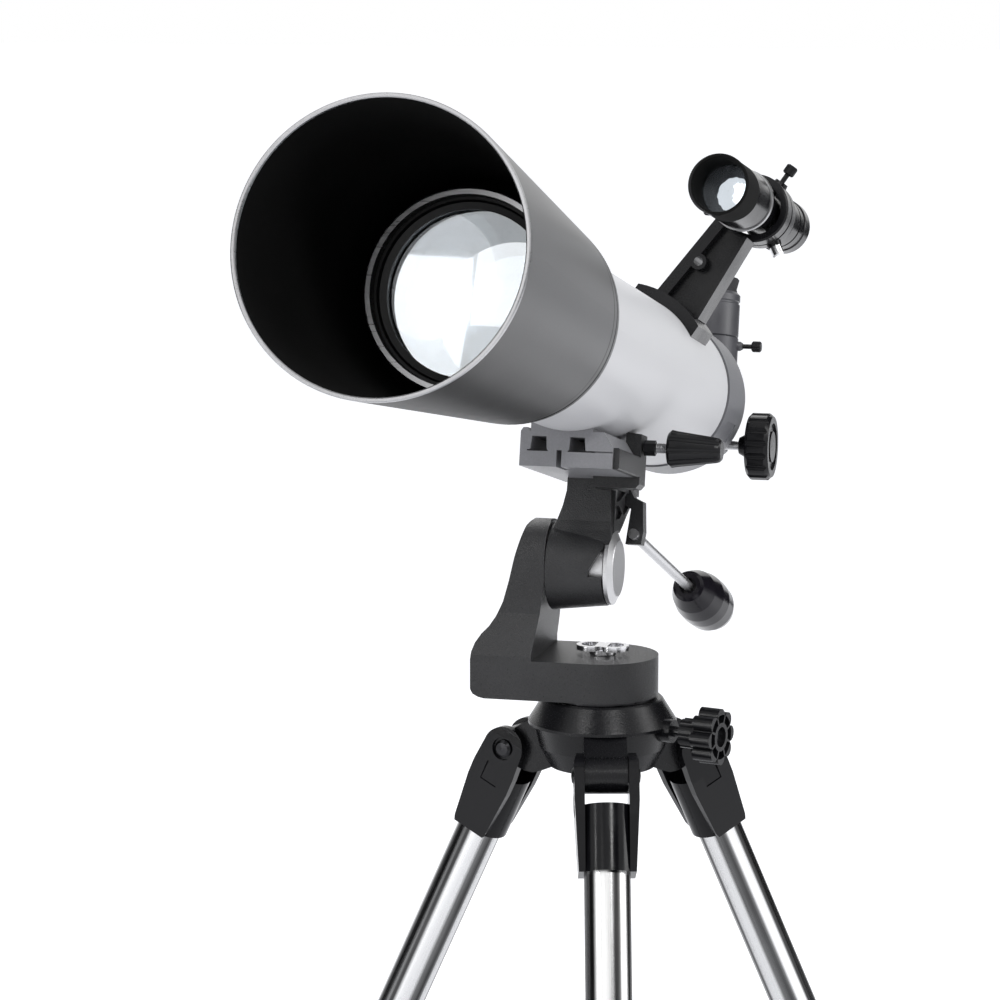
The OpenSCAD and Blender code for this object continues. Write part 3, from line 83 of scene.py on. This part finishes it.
class Wire:  # one shader socket; arithmetic on it adds the Math nodes
    def __init__(self, graph, socket):
        self.graph = graph
        self.socket = socket

    def __add__(self, other): return self.graph.maths("ADD", self, other)
    def __radd__(self, other): return self.graph.maths("ADD", other, self)
    def __sub__(self, other): return self.graph.maths("SUBTRACT", self, other)
    def __rsub__(self, other): return self.graph.maths("SUBTRACT", other, self)
    def __mul__(self, other): return self.graph.maths("MULTIPLY", self, other)
    def __rmul__(self, other): return self.graph.maths("MULTIPLY", other, self)
    def __pow__(self, other): return self.graph.maths("POWER", self, other)
    def __gt__(self, other): return self.graph.maths("GREATER_THAN", self, other)
    def __lt__(self, other): return self.graph.maths("LESS_THAN", self, other)


class Graph:  # one node tree
    def __init__(self, tree):
        self.tree = tree

    def node(self, kind, settings=None, inputs=None, output=0):
        made = self.tree.nodes.new(kind)
        for key, value in (settings or {}).items():
            if key == "stops":
                self.fillRamp(made.color_ramp, value)
            else:
                setattr(made, key, value)
        for key, value in (inputs or {}).items():
            self.join(made.inputs[key], value)
        return Wire(self, made.outputs[output]) if made.outputs else None

    def fillRamp(self, ramp, stops):
        while len(ramp.elements) < len(stops):
            ramp.elements.new(0.5)
        for element, (place, tone) in zip(ramp.elements, stops):
            element.position = place
            element.color = (*tone, 1.0)

    def join(self, socket, value):
        if isinstance(value, Wire):
            self.tree.links.new(value.socket, socket)
        elif isinstance(value, tuple) and len(socket.default_value) == 4:
            socket.default_value = (*value, 1.0)
        else:
            socket.default_value = value

    def maths(self, operation, *values):
        return self.node("ShaderNodeMath", {"operation": operation}, dict(enumerate(values)))

    def seenRays(self):  # 1 on rays from the camera, off a mirror or through glass
        path = self.tree.nodes.new("ShaderNodeLightPath")
        direct, mirrored, through = (Wire(self, path.outputs[f"Is {kind} Ray"])
                                     for kind in ("Camera", "Glossy", "Transmission"))
        return self.maths("MAXIMUM", self.maths("MAXIMUM", direct, mirrored), through)


class Paint(Graph):  # one material with its Principled shader; a setting's underscores stand for spaces
    def __init__(self, name, **settings):
        self.material = bpy.data.materials.new(name)
        self.material.use_nodes = True
        super().__init__(self.material.node_tree)
        self.shader = self.tree.nodes["Principled BSDF"]
        for socket, value in settings.items():
            self.set(socket.replace("_", " "), value)

    def set(self, socket, value):
        self.join(self.shader.inputs[socket], value)

    def place(self, matrix=None, scale=None):
        # object coordinates, turned into the frame whose matrix is given, then stretched
        spot = self.node("ShaderNodeTexCoord", output=3)
        if matrix is not None:
            shift, turn, _ = matrix.inverted().decompose()
            spot = self.node("ShaderNodeMapping", {}, {
                "Vector": spot, "Location": tuple(shift), "Rotation": tuple(turn.to_euler())})
        if scale is not None:
            spot = self.node("ShaderNodeVectorMath", {"operation": "MULTIPLY"}, {0: spot, 1: scale})
        return spot

    def drawn(self, matrix, along):
        # coordinates that hardly change along one axis, so that noise on them becomes lines
        stretch = 0.02
        return self.place(matrix, tuple(stretch if axis == along else 1.0 for axis in "xyz"))

    def axes(self, spot):
        split = self.tree.nodes.new("ShaderNodeSeparateXYZ")
        self.join(split.inputs[0], spot)
        return [Wire(self, output) for output in split.outputs]

    def noise(self, spot, scale, detail=2.0, roughness=0.5):
        return self.node("ShaderNodeTexNoise", {}, {
            "Vector": spot, "Scale": scale, "Detail": detail, "Roughness": roughness})

    def spread(self, value, low=0.0, high=1.0):  # noise, stretched about its middle, to low..high
        return self.node("ShaderNodeMapRange", {"clamp": True}, {
            "Value": value, "From Min": 0.3, "From Max": 0.7, "To Min": low, "To Max": high})

    def step(self, value, start, end, low=0.0, high=1.0):  # smooth rise from low to high
        return self.node("ShaderNodeMapRange", {"interpolation_type": "SMOOTHSTEP"}, {
            "Value": value, "From Min": start, "From Max": end, "To Min": low, "To Max": high})

    def blend(self, factor, first, second):  # mixes two colours
        return self.node("ShaderNodeMix", {"data_type": "RGBA"}, {0: factor, 6: first, 7: second}, 2)

    def bump(self, height, depth):
        self.set("Normal", self.node("ShaderNodeBump", {}, {"Strength": 1.0, "Distance": depth, "Height": height}))


def tinted(colour, factor):
    return tuple(channel * factor for channel in colour)


# Camera, light and floor

camera = {"fromHead": (0.4376, -1.9254, 0.3974), "pitch": 81.06, "heading": 14.47,
          "lens": 129.6, "sensor": 36.0, "reach": 50.0}
studio = {"background": (1.0, 1.0, 1.0), "ambient": 0.62, "ambientColour": (0.93, 0.95, 1.0)}
ground = {"colour": (0.86, 0.86, 0.87), "rough": 0.95, "reach": 30.0, "height": -0.0004,
          "glow": 0.52, "nearGlow": 0.04, "glowFrom": (0.55, 1.3)}
cardLook = {"colour": (0.004, 0.004, 0.004), "bottom": 0.02}
cards = [
    # name, heading from the camera's side turning right, distance, width, height
    ("frontCard", 36.0, 3.2, 1.9, 3.6),
    ("leftCard", -100.0, 3.0, 2.6, 3.6),
    ("rightCard", 128.0, 3.0, 2.6, 3.6),
]
lamps = [
    # name, place, target, width, height, watts
    ("keyPanel", (1.35, -1.7, 2.35), (0.0, 0.0, 0.75), 0.36, 0.5, 22.0),
    ("lensPanel", (-0.34, -2.5, 1.82), (0.0, -0.4, 0.85), 0.46, 0.72, 1.6),
    ("sidePanel", (2.1, 0.4, 1.5), (0.0, 0.0, 0.75), 0.7, 1.6, 14.0),
    ("topPanel", (-0.5, -1.5, 2.7), (0.0, 0.0, 0.75), 0.9, 0.22, 13.0),
    ("stripPanel", (-1.5, -1.9, 1.0), (0.0, 0.0, 0.5), 0.07, 1.7, 9.0),
    ("backPanel", (-0.9, 1.9, 2.3), (0.0, 0.0, 0.8), 1.4, 1.0, 14.0),
]


def makeCamera():
    data = bpy.data.cameras.new("camera")
    data.lens = camera["lens"]
    data.sensor_width = camera["sensor"]
    data.clip_end = camera["reach"]
    eye = addObject("camera", data)
    eye.location = headCentre + Vector(camera["fromHead"])
    eye.rotation_euler = (math.radians(camera["pitch"]), 0.0, math.radians(camera["heading"]))
    scene.camera = eye


def makeLamps():
    for name, place, target, width, height, watts in lamps:
        data = bpy.data.lights.new(name, "AREA")
        data.shape = "RECTANGLE"
        data.size = width
        data.size_y = height
        data.energy = watts
        lamp = addObject(name, data)
        lamp.location = place
        lamp.rotation_euler = (Vector(target) - Vector(place)).to_track_quat("-Z", "Y").to_euler()


def makeWorld():
    # what is seen is the plain background, and what lights the object is the soft ambient light
    world = bpy.data.worlds.new("studio")
    scene.world = world
    world.use_nodes = True
    graph = Graph(world.node_tree)
    graph.tree.nodes.clear()
    light = graph.node("ShaderNodeBackground", {}, {
        "Color": studio["ambientColour"], "Strength": studio["ambient"]})
    shown = graph.node("ShaderNodeBackground", {}, {"Color": studio["background"]})
    mixed = graph.node("ShaderNodeMixShader", {}, {0: graph.seenRays(), 1: light, 2: shown})
    graph.node("ShaderNodeOutputWorld", {}, {"Surface": mixed})


def panel(name, corners, material):
    mesh = bpy.data.meshes.new(name)
    mesh.from_pydata([tuple(corner) for corner in corners], [], [(0, 1, 2, 3)])
    mesh.materials.append(material)
    return addObject(name, mesh)


def makeFloor():
    # the floor glows to white away from the feet and stays dim near them, so that the shadow shows
    paint = Paint("floorPaint", Base_Color=ground["colour"], Roughness=ground["rough"], Emission_Strength=1.0)
    x, y, _ = paint.axes(paint.place())
    away = (x * x + y * y) ** 0.5
    glow = paint.step(away, *ground["glowFrom"], ground["nearGlow"], ground["glow"])
    paint.set("Emission Color", paint.blend(paint.seenRays() * glow, (0.0, 0.0, 0.0), (1.0, 1.0, 1.0)))
    reach = ground["reach"]
    corners = [(side * reach, end * reach, ground["height"]) for side, end in ((-1, -1), (1, -1), (1, 1), (-1, 1))]
    floor = panel("floor", corners, paint.material)


def makeCards():
    # black cards beside the object, which show only in its polished metal
    paint = Paint("cardBlack", Base_Color=cardLook["colour"], Roughness=1.0)
    bottom = cardLook["bottom"]
    for name, heading, distance, width, height in cards:
        turn = Matrix.Rotation(math.radians(camera["heading"] + heading), 4, "Z")
        corners = [turn @ Vector((side * width / 2, -distance, level))
                   for side, level in ((-1, bottom), (1, bottom), (1, height), (-1, height))]
        card = panel(name, corners, paint.material)
        for ray in ("camera", "diffuse", "shadow", "transmission"):
            setattr(card, f"visible_{ray}", False)


# Finishes

def castPaint(name, colour, rough=0.42, grain=1500.0, depth=0.00012, mottle=0.18, specular=0.5):
    # paint over a sand casting: fine pits, a slow change of tone, and gloss that follows the grain
    cast = {"slow": 22.0, "glossier": 0.05, "duller": 0.08}
    paint = Paint(name, Specular_IOR_Level=specular)
    spot = paint.place()
    fine = paint.noise(spot, grain, 3.0, 0.6)
    slow = paint.noise(spot, cast["slow"])
    tone = paint.spread(slow * 0.5 + fine * 0.5)
    paint.set("Base Color", paint.blend(tone, tinted(colour, 1 - mottle), tinted(colour, 1 + mottle)))
    paint.set("Roughness", paint.spread(fine, rough - cast["glossier"], rough + cast["duller"]))
    paint.bump(fine, depth)
    return paint.material


def mouldedPlastic(name, colour, rough=0.35, specular=0.5):
    # moulded plastic: nearly even colour, slight waviness and dull patches from handling
    moulded = {"slow": 45.0, "fine": 900.0, "mottle": 0.14, "glossier": 0.06, "duller": 0.09, "depth": 0.00003}
    paint = Paint(name, Specular_IOR_Level=specular)
    spot = paint.place()
    slow = paint.noise(spot, moulded["slow"], 3.0)
    fine = paint.noise(spot, moulded["fine"])
    low, high = tinted(colour, 1 - moulded["mottle"]), tinted(colour, 1 + moulded["mottle"])
    paint.set("Base Color", paint.blend(paint.spread(slow), low, high))
    handled = slow * 0.7 + fine * 0.3
    paint.set("Roughness", paint.spread(handled, rough - moulded["glossier"], rough + moulded["duller"]))
    paint.bump(fine, moulded["depth"])
    return paint.material


def turnedMetal(name, colour, matrix, rough=0.2, along="z", lines=900.0):
    # drawn or turned metal: fine lines that run along one axis of the given frame
    metal = {"slow": 30.0, "darker": 0.10, "lighter": 0.05, "glossier": 0.04, "duller": 0.06, "depth": 0.00002}
    paint = Paint(name, Metallic=1.0)
    line = paint.noise(paint.drawn(matrix, along), lines, 2.0, 0.6)
    slow = paint.noise(paint.place(), metal["slow"])
    tone = paint.spread(line * 0.6 + slow * 0.4)
    low, high = tinted(colour, 1 - metal["darker"]), tinted(colour, 1 + metal["lighter"])
    paint.set("Base Color", paint.blend(tone, low, high))
    paint.set("Roughness", paint.spread(line, rough - metal["glossier"], rough + metal["duller"]))
    paint.bump(line, metal["depth"])
    return paint.material


def rubberSkin(name, colour=(0.016, 0.016, 0.018)):
    rubber = {"fine": 1100.0, "slow": 40.0, "rough": (0.62, 0.85), "depth": 0.00006}
    paint = Paint(name)
    spot = paint.place()
    fine = paint.noise(spot, rubber["fine"], 3.0)
    slow = paint.noise(spot, rubber["slow"])
    paint.set("Base Color", paint.blend(paint.spread(slow), tinted(colour, 0.8), tinted(colour, 1.35)))
    paint.set("Roughness", paint.spread(fine, *rubber["rough"]))
    paint.bump(fine, rubber["depth"])
    return paint.material


def lensCoating(name, colour, metallic=0.86, rough=0.03, alpha=1.0):
    # a coated lens throws back most of the room's light, so it is a pale mirror
    coating = {"slow": 25.0, "darker": 0.94, "duller": 0.03}
    paint = Paint(name, Metallic=metallic, Alpha=alpha)
    slow = paint.noise(paint.place(), coating["slow"])
    paint.set("Base Color", paint.blend(paint.spread(slow), tinted(colour, coating["darker"]), colour))
    paint.set("Roughness", paint.spread(slow, rough, rough + coating["duller"]))
    return paint.material


def whiteTubePaint():
    # baked enamel: even, with a faint orange peel under a soft gloss; painted shade makes it darker and a little
    # bluer low down
    enamel = {"low": (0.51, 0.51, 0.522), "high": (0.665, 0.665, 0.672), "worn": (0.63, 0.632, 0.64),
              "fade": (-0.048, 0.012), "wornShare": 0.35, "rough": (0.44, 0.54),
              "slow": 9.0, "peel": 420.0, "peelDepth": 0.000012}
    paint = Paint("whiteTubePaint", Coat_Weight=0.18, Coat_Roughness=0.3, Specular_IOR_Level=0.3)
    spot = paint.place(tubeFrame)
    z = paint.axes(spot)[2]
    slow = paint.noise(spot, enamel["slow"])
    peel = paint.noise(spot, enamel["peel"], 1.0)
    # painted shade: darker and bluer towards the bottom, by height in the tube's frame
    paintedShade = paint.blend(paint.step(z, *enamel["fade"]), enamel["low"], enamel["high"])
    paint.set("Base Color", paint.blend(paint.spread(slow, 0.0, enamel["wornShare"]), paintedShade, enamel["worn"]))
    paint.set("Roughness", paint.spread(slow, *enamel["rough"]))
    paint.bump(peel, enamel["peelDepth"])
    return paint.material


def dewShieldPaint():
    # satin black outside, flocked black inside; the cone's radius tells them apart. Painted shade turns the outside
    # nearly black low down and along a thin crease line
    shield = {"mouth": -0.4625, "frontRadius": 0.068, "backRadius": 0.0543, "length": 0.245, "wall": 0.0021,
              "skin": (0.088, 0.088, 0.090), "rubbed": (0.104, 0.104, 0.106), "felt": (0.003, 0.003, 0.003),
              "fade": (-0.064, 0.006), "paintedShadeLow": 0.10, "gloss": 0.45, "rough": (0.38, 0.46), "feltRough": 0.85,
              "crease": 0.0165, "creaseHalf": 0.0007, "paintedCreaseShade": 0.05,
              "fine": 1400.0, "slow": 14.0, "depth": 0.00004}
    paint = Paint("dewShieldPaint", Coat_Roughness=0.34, Specular_IOR_Level=0.10)
    spot = paint.place(tubeFrame)
    x, y, z = paint.axes(spot)
    slope = (shield["backRadius"] - shield["frontRadius"]) / shield["length"]
    middle = (y - shield["mouth"]) * slope + (shield["frontRadius"] - shield["wall"] / 2)
    outside = (x * x + z * z) ** 0.5 > middle
    fine = paint.noise(spot, shield["fine"], 3.0, 0.6)
    slow = paint.noise(spot, shield["slow"], 3.0)
    scuff = paint.spread(slow)
    # height mask: the upper side gets the coat, and the lower side is painted darker as painted shade
    gloss = paint.step(z, *shield["fade"])
    skin = paint.blend(scuff, shield["skin"], shield["rubbed"])
    # painted shade: the outside skin turns nearly black low down
    skin = paint.blend(gloss, tinted(shield["skin"], shield["paintedShadeLow"]), skin)
    # painted shade: a thin near-black line along the crease, which also loses its coat
    fromRear = shield["mouth"] + shield["length"] - shield["crease"] - y
    crease = paint.maths("ABSOLUTE", fromRear) < shield["creaseHalf"]
    skin = paint.blend(crease, skin, tinted(shield["skin"], shield["paintedCreaseShade"]))
    felt = paint.blend(scuff, shield["felt"], tinted(shield["felt"], 2.0))
    paint.set("Base Color", paint.blend(outside, felt, skin))
    paint.set("Coat Weight", gloss * outside * (1.0 - crease) * shield["gloss"])
    skinRough = paint.spread(slow * 0.5 + fine * 0.5, *shield["rough"])
    paint.set("Roughness", outside * (skinRough - shield["feltRough"]) + shield["feltRough"])
    paint.bump(fine, shield["depth"])
    return paint.material


def cellFinish():
    # the cell's front ring is bare turned metal; inside the mouth and behind the shield it is black
    cell = {"ring": (0.62, 0.62, 0.63), "black": (0.006, 0.006, 0.007), "ringDepth": 0.003,
            "clear": 0.0004, "lines": 700.0, "darker": 0.86, "rough": (0.26, 0.36)}
    front = float(nodeSpan("lens_cell", tubeFrame)[0][1])
    mouth = float(nodeSpan("cell_ring", tubeFrame)[1][0])
    paint = Paint("cellFinish", Specular_IOR_Level=0.3)
    x, y, z = paint.axes(paint.place(tubeFrame))
    bare = ((x * x + z * z) ** 0.5 > mouth + cell["clear"]) * (y < front + cell["ringDepth"])
    line = paint.noise(paint.drawn(tubeFrame, "x"), cell["lines"], 2.0, 0.6)
    ring = paint.blend(paint.spread(line), tinted(cell["ring"], cell["darker"]), cell["ring"])
    paint.set("Base Color", paint.blend(bare, cell["black"], ring))
    paint.set("Metallic", bare)
    paint.set("Roughness", paint.spread(line, *cell["rough"]))
    return paint.material


def finderFinish():
    # gloss black outside, dull black inside the hood; the radius from the finder's own axis tells them apart
    finder = {"skin": (0.006, 0.006, 0.007), "inside": (0.002, 0.002, 0.002), "wall": 0.0016,
              "rough": (0.14, 0.24), "insideRough": 0.95, "slow": 45.0, "fine": 900.0, "depth": 0.00002}
    low, high = nodeSpan("finder_lens", tubeFrame)
    middle = [float(place) for place in (low + high) / 2]
    left, right = nodeSpan("finder_tube", tubeFrame)
    bore = float((right[0] - left[0]) / 2 - finder["wall"])
    paint = Paint("finderFinish", Specular_IOR_Level=0.24)
    spot = paint.place(tubeFrame)
    x, y, z = paint.axes(spot)
    radius = ((x - middle[0]) ** 2.0 + (z - middle[2]) ** 2.0) ** 0.5
    inside = (radius < bore) * (y < middle[1])
    slow = paint.noise(spot, finder["slow"], 3.0)
    fine = paint.noise(spot, finder["fine"])
    skin = paint.blend(paint.spread(slow), tinted(finder["skin"], 0.8), tinted(finder["skin"], 1.3))
    paint.set("Base Color", paint.blend(inside, skin, finder["inside"]))
    skinRough = paint.spread(slow, *finder["rough"])
    paint.set("Roughness", skinRough * (1.0 - inside) + inside * finder["insideRough"])
    paint.bump(fine, finder["depth"])
    return paint.material


def drawnSteelPaintedReflection(index):
    # bright drawn tube with painted reflections: long dark and bright bands down the leg, painted in for the cards
    # and lamps seen in the steel, placed by the angle round its axis
    # from the front, as shares of a turn
    steel = {"dark": 0.035, "dull": 0.16, "grey": 0.34, "bright": 0.80, "worn": (0.45, 0.45, 0.46),
             "wornShare": 0.14, "turn": (0.0, 0.035, -0.03), "lines": 520.0, "slow": 30.0,
             "rough": (0.22, 0.32), "depth": 0.00002}
    # painted reflections: dark and bright bands, as the studio would show in the steel
    paintedReflectionBands = [(0.0, "bright"), (0.05, "grey"), (0.10, "dark"), (0.17, "dull"), (0.21, "bright"), (0.27, "bright"),
               (0.31, "dark"), (0.365, "dark"), (0.385, "grey"), (0.405, "dark"), (0.424, "dark"), (0.45, "bright"),
               (0.529, "bright"), (0.551, "dull"), (0.60, "dark"), (0.618, "dull"), (0.632, "bright"),
               (0.684, "bright"), (0.70, "dark"), (0.80, "dark"), (0.84, "bright"), (0.90, "bright"),
               (0.93, "dull"), (0.97, "dull")]
    matrix = legFrame(index)
    back = matrix.to_3x3().inverted()
    front = (back @ Vector((0, -1, 0))).to_2d().normalized()
    right = (back @ Vector((1, 0, 0))).to_2d().normalized()
    paint = Paint(f"drawnSteelPaintedReflection{index}", Metallic=1.0)
    x, y, _ = paint.axes(paint.place(matrix))
    angle = paint.maths("ARCTAN2", x * right.x + y * right.y, x * front.x + y * front.y)
    share = paint.maths("FRACT", angle * (0.5 / math.pi) + (0.5 + steel["turn"][index - 1]))
    stops = [(place, (steel[tone],) * 3) for place, tone in paintedReflectionBands]
    # painted reflection bands, fixed to the leg's front, over the real drawn lines
    paintedReflection = paint.node("ShaderNodeValToRGB", {"stops": stops}, {"Fac": share})
    line = paint.noise(paint.drawn(matrix, "z"), steel["lines"], 2.0, 0.6)
    slow = paint.noise(paint.place(), steel["slow"])
    tone = paint.spread(line * 0.6 + slow * 0.4, 0.0, steel["wornShare"])
    paint.set("Base Color", paint.blend(tone, paintedReflection, steel["worn"]))
    paint.set("Roughness", paint.spread(line, *steel["rough"]))
    paint.bump(line, steel["depth"])
    return paint.material


def clothe(material, *names):
    for name in names:
        mesh = nodes[name].data
        mesh.materials.clear()
        mesh.materials.append(material)


def clotheTube():
    clothe(dewShieldPaint(), "dew_shield")
    clothe(cellFinish(), "lens_cell")
    clothe(whiteTubePaint(), "main_tube")
    clothe(finderFinish(), "finder_tube", "finder_eyepiece")
    clothe(turnedMetal("brightRim", (0.42, 0.42, 0.43), tubeFrame, rough=0.30, along="y"),
           "shield_rim", "finder_trim")
    clothe(castPaint("cellBlack", (0.008, 0.008, 0.009), rough=0.36, grain=700.0, depth=0.00002, specular=0.3),
           "cell_ring")
    clothe(rubberSkin("baffleBlack", (0.006, 0.006, 0.006)), "tube_baffles")
    clothe(lensCoating("innerLens", (0.62, 0.70, 0.76), metallic=0.5), "crown_lens", "flint_lens", "eye_lens")
    clothe(lensCoating("finderCoating", (0.74, 0.80, 0.86)), "finder_lens")
    clothe(castPaint("greyCasting", (0.150, 0.151, 0.162), rough=0.40, grain=1300.0, depth=0.00005, mottle=0.10),
           "rear_cell", "focuser_body")
    clothe(turnedMetal("drawtubeChrome", (0.80, 0.80, 0.82), tubeFrame, rough=0.10, along="y"),
           "drawtube", "eyepiece_barrel")
    clothe(turnedMetal("pinionSteel", (0.62, 0.62, 0.63), tubeFrame, rough=0.28, along="x"), "pinion")
    clothe(mouldedPlastic("screwBlack", (0.006, 0.006, 0.007), rough=0.28, specular=0.2),
           "drawtube_screw", "diagonal_screw", "finder_screw_top", "finder_screw_side")
    clothe(mouldedPlastic("diagonalBlack", (0.075, 0.075, 0.082), rough=0.36), "diagonal_body", "eyepiece_body")
    clothe(lensCoating("mirrorSilver", (0.9, 0.9, 0.9), metallic=1.0, rough=0.02), "diagonal_mirror")
    clothe(rubberSkin("eyecupRubber"), "eyecup")
    clothe(mouldedPlastic("bracketBlack", (0.005, 0.005, 0.006), rough=0.24, specular=0.2), "finder_bracket")
    clothe(turnedMetal("springSteel", (0.72, 0.72, 0.73), tubeFrame), "finder_spring")


def clotheMount():
    clothe(castPaint("saddleAlloy", (0.20, 0.20, 0.21), rough=0.34, grain=900.0, depth=0.00008, mottle=0.14),
           "tube_foot", "saddle")
    clothe(castPaint("headBlack", (0.018, 0.018, 0.019), rough=0.32, grain=1300.0, depth=0.00034, mottle=0.5,
                     specular=0.34), "fork_arm", "altitude_bracket")
    clothe(turnedMetal("capSteel", (0.56, 0.56, 0.57), Matrix.Translation(altitudeAxis), rough=0.42, along="x"),
           "altitude_bolt")
    clothe(turnedMetal("rodSteel", (0.60, 0.60, 0.61), tubeFrame, rough=0.34, along="y"), "handle_rod")
    clothe(mouldedPlastic("gripBlack", (0.008, 0.007, 0.010), rough=0.18, specular=0.24), "handle_grip")
    clothe(turnedMetal("wingChrome", (0.80, 0.80, 0.82), tubeFrame, rough=0.16), "azimuth_knob")
    clothe(turnedMetal("blackSteel", (0.035, 0.035, 0.037), tubeFrame, rough=0.3), "pivot_bolts", "azimuth_washer")
    clothe(mouldedPlastic("knobBlack", (0.007, 0.007, 0.008), rough=0.20, specular=0.2),
           "focus_knobs", "clamp_knob", "lock_knob", "leg_knob_1", "leg_knob_2", "leg_knob_3")
    clothe(castPaint("hubBlack", (0.006, 0.006, 0.007), rough=0.22, depth=0.00008, mottle=0.2, specular=0.24),
           "tripod_hub")
    clothe(rubberSkin("footRubber"), "rubber_foot_1", "rubber_foot_2", "rubber_foot_3")
    bracket = mouldedPlastic("bracketGloss", (0.004, 0.004, 0.005), rough=0.16, specular=0.22)
    for index in (1, 2, 3):
        clothe(bracket, f"leg_bracket_{index}", f"leg_clamp_{index}")
        clothe(drawnSteelPaintedReflection(index), f"upper_leg_{index}", f"lower_leg_{index}")


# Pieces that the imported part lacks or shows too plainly

def gridPiece(name, grid, matrix, material, body, smooth=60.0):
    # a grid of points, closed across its rows, becomes quads; doubled seams and poles are merged
    rows, columns = grid.shape[:2]
    turn = np.array(matrix)
    points = grid.reshape(-1, 3) @ turn[:3, :3].T + turn[:3, 3]
    u, v = np.meshgrid(np.arange(rows - 1), np.arange(columns), indexing="ij")
    across = (v + 1) % columns
    quads = np.stack([u * columns + v, u * columns + across, (u + 1) * columns + across, (u + 1) * columns + v], -1)
    mesh = bpy.data.meshes.new(name)
    mesh.from_pydata(points.tolist(), [], quads.reshape(-1, 4).tolist())
    work = bmesh.new()
    work.from_mesh(mesh)
    bmesh.ops.remove_doubles(work, verts=work.verts, dist=1e-6)
    bmesh.ops.recalc_face_normals(work, faces=work.faces)
    work.to_mesh(mesh)
    work.free()
    mesh.shade_smooth()
    mesh.set_sharp_from_angle(angle=math.radians(smooth))
    mesh.materials.append(material)
    piece = addObject(name, mesh)
    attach(piece, body)
    return piece


def turned(profile, sides=96):
    # each (radius, height) is carried round z: x = r cos t, y = r sin t, z = height
    angle = np.linspace(0, 2 * np.pi, sides, endpoint=False)
    radius, height = profile[:, :1], profile[:, 1:]
    return np.stack([radius * np.cos(angle), radius * np.sin(angle), height + 0 * angle], -1)


def sphereFace(radius, curve, height, steps):
    # radii outward from the axis, with a height that falls off as on a ball; a negative curve is hollow
    r = np.linspace(0, radius, steps)
    return np.stack([r, height + curve - np.sign(curve) * np.sqrt(curve * curve - r * r)], -1)


# Lengths in metres: edges stand clear of the cell, and the two elements clear of each other
objective = {"frontCurve": 0.42, "backCurve": 0.36, "steps": 24, "clear": 0.0005, "bevelled": 0.0012,
             "bevel": 0.0006, "gap": 0.002, "inset": 0.0003, "frontAlpha": 0.22}


def makeObjective():
    low, high = nodeSpan("crown_lens", alongTube)
    inner, outer = high[0] - objective["bevelled"], high[0] - objective["clear"]
    face = sphereFace(inner, objective["frontCurve"], low[2], objective["steps"])
    rear = high[2] - objective["gap"]
    rim = [(outer, face[-1, 1] + objective["bevel"]), (outer, rear - objective["bevel"]), (inner, rear), (0, rear)]
    glass = lensCoating("objectiveFront", (0.92, 0.95, 0.98), metallic=1.0, rough=0.01, alpha=objective["frontAlpha"])
    front = gridPiece("objective_front", turned(np.vstack([face, rim])), alongTube, glass, "tube")
    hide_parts("crown_lens")

    low, high = nodeSpan("flint_lens", alongTube)
    outer, rear = high[0] - objective["clear"], high[2]
    hollow = sphereFace(outer, -objective["backCurve"], 0.0, objective["steps"])
    hollow[:, 1] += low[2] + objective["inset"] - hollow[-1, 1]
    glass = lensCoating("objectiveBack", (0.90, 0.95, 0.99), metallic=1.0, rough=0.02)
    back = gridPiece("objective_back", turned(np.vstack([hollow, [(outer, rear), (0, rear)]])), alongTube, glass,
                     "tube")
    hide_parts("flint_lens")


def screwThread(name, matrix, start, length, thread, material, body):
    # radius + height * (1 + cos(2 pi h / pitch - angle)) / 2 over height h and angle: a rolled thread that
    # fades at both ends; lengths in millimetres
    rows = int(length / thread["pitch"] * thread["steps"])
    angles = np.linspace(0, 2 * np.pi, thread["sides"], endpoint=False)
    height, angle = np.meshgrid(np.linspace(0, length, rows), angles, indexing="ij")
    fade = np.clip(np.minimum(height, length - height) / thread["pitch"], 0, 1)
    ridge = thread["height"] * (1 + np.cos(2 * np.pi * height / thread["pitch"] - angle)) / 2
    radius = thread["radius"] + thread["proud"] + fade * ridge
    wall = np.stack([radius * np.cos(angle), radius * np.sin(angle), height + start], -1)
    centre = np.zeros((1, thread["sides"], 3))
    grid = np.concatenate([centre + (0, 0, start), wall, centre + (0, 0, start + length)])
    return gridPiece(name, grid / 1000, matrix, material, body, smooth=50.0)


clampThread = {"radius": 2.5, "proud": 0.03, "height": 0.4, "pitch": 0.9, "steps": 9, "sides": 28,
               "bare": 7.0, "grip": 29.7}


def makeThreads():
    # the clamp screw's bare stretch, between its lock nut and its grip
    joint = joints["clamp_knob_turn"]
    outward = Vector(joint["axis"]) * (1 if joint["axis"][0] > 0 else -1)
    axis = Matrix.Translation(joint["pos_m"]) @ outward.to_track_quat("Z", "Y").to_matrix().to_4x4()
    rolled = turnedMetal("rolledSteel", (0.34, 0.34, 0.35), axis, rough=0.3, lines=600.0)
    end = float(nodeSpan("clamp_knob", axis)[1][2]) * 1000
    start = end - clampThread["grip"] - clampThread["bare"]
    screwThread("clamp_thread", axis, start, clampThread["bare"], clampThread, rolled, "clamp_knob")


makeCamera()
makeLamps()
makeWorld()
makeFloor()
makeCards()
print("camera, lamps and floor set")

clotheTube()
clotheMount()
print("finishes on")

makeObjective()
print("objective made")

makeThreads()
print("threads cut")

scene.view_settings.view_transform = "Standard"
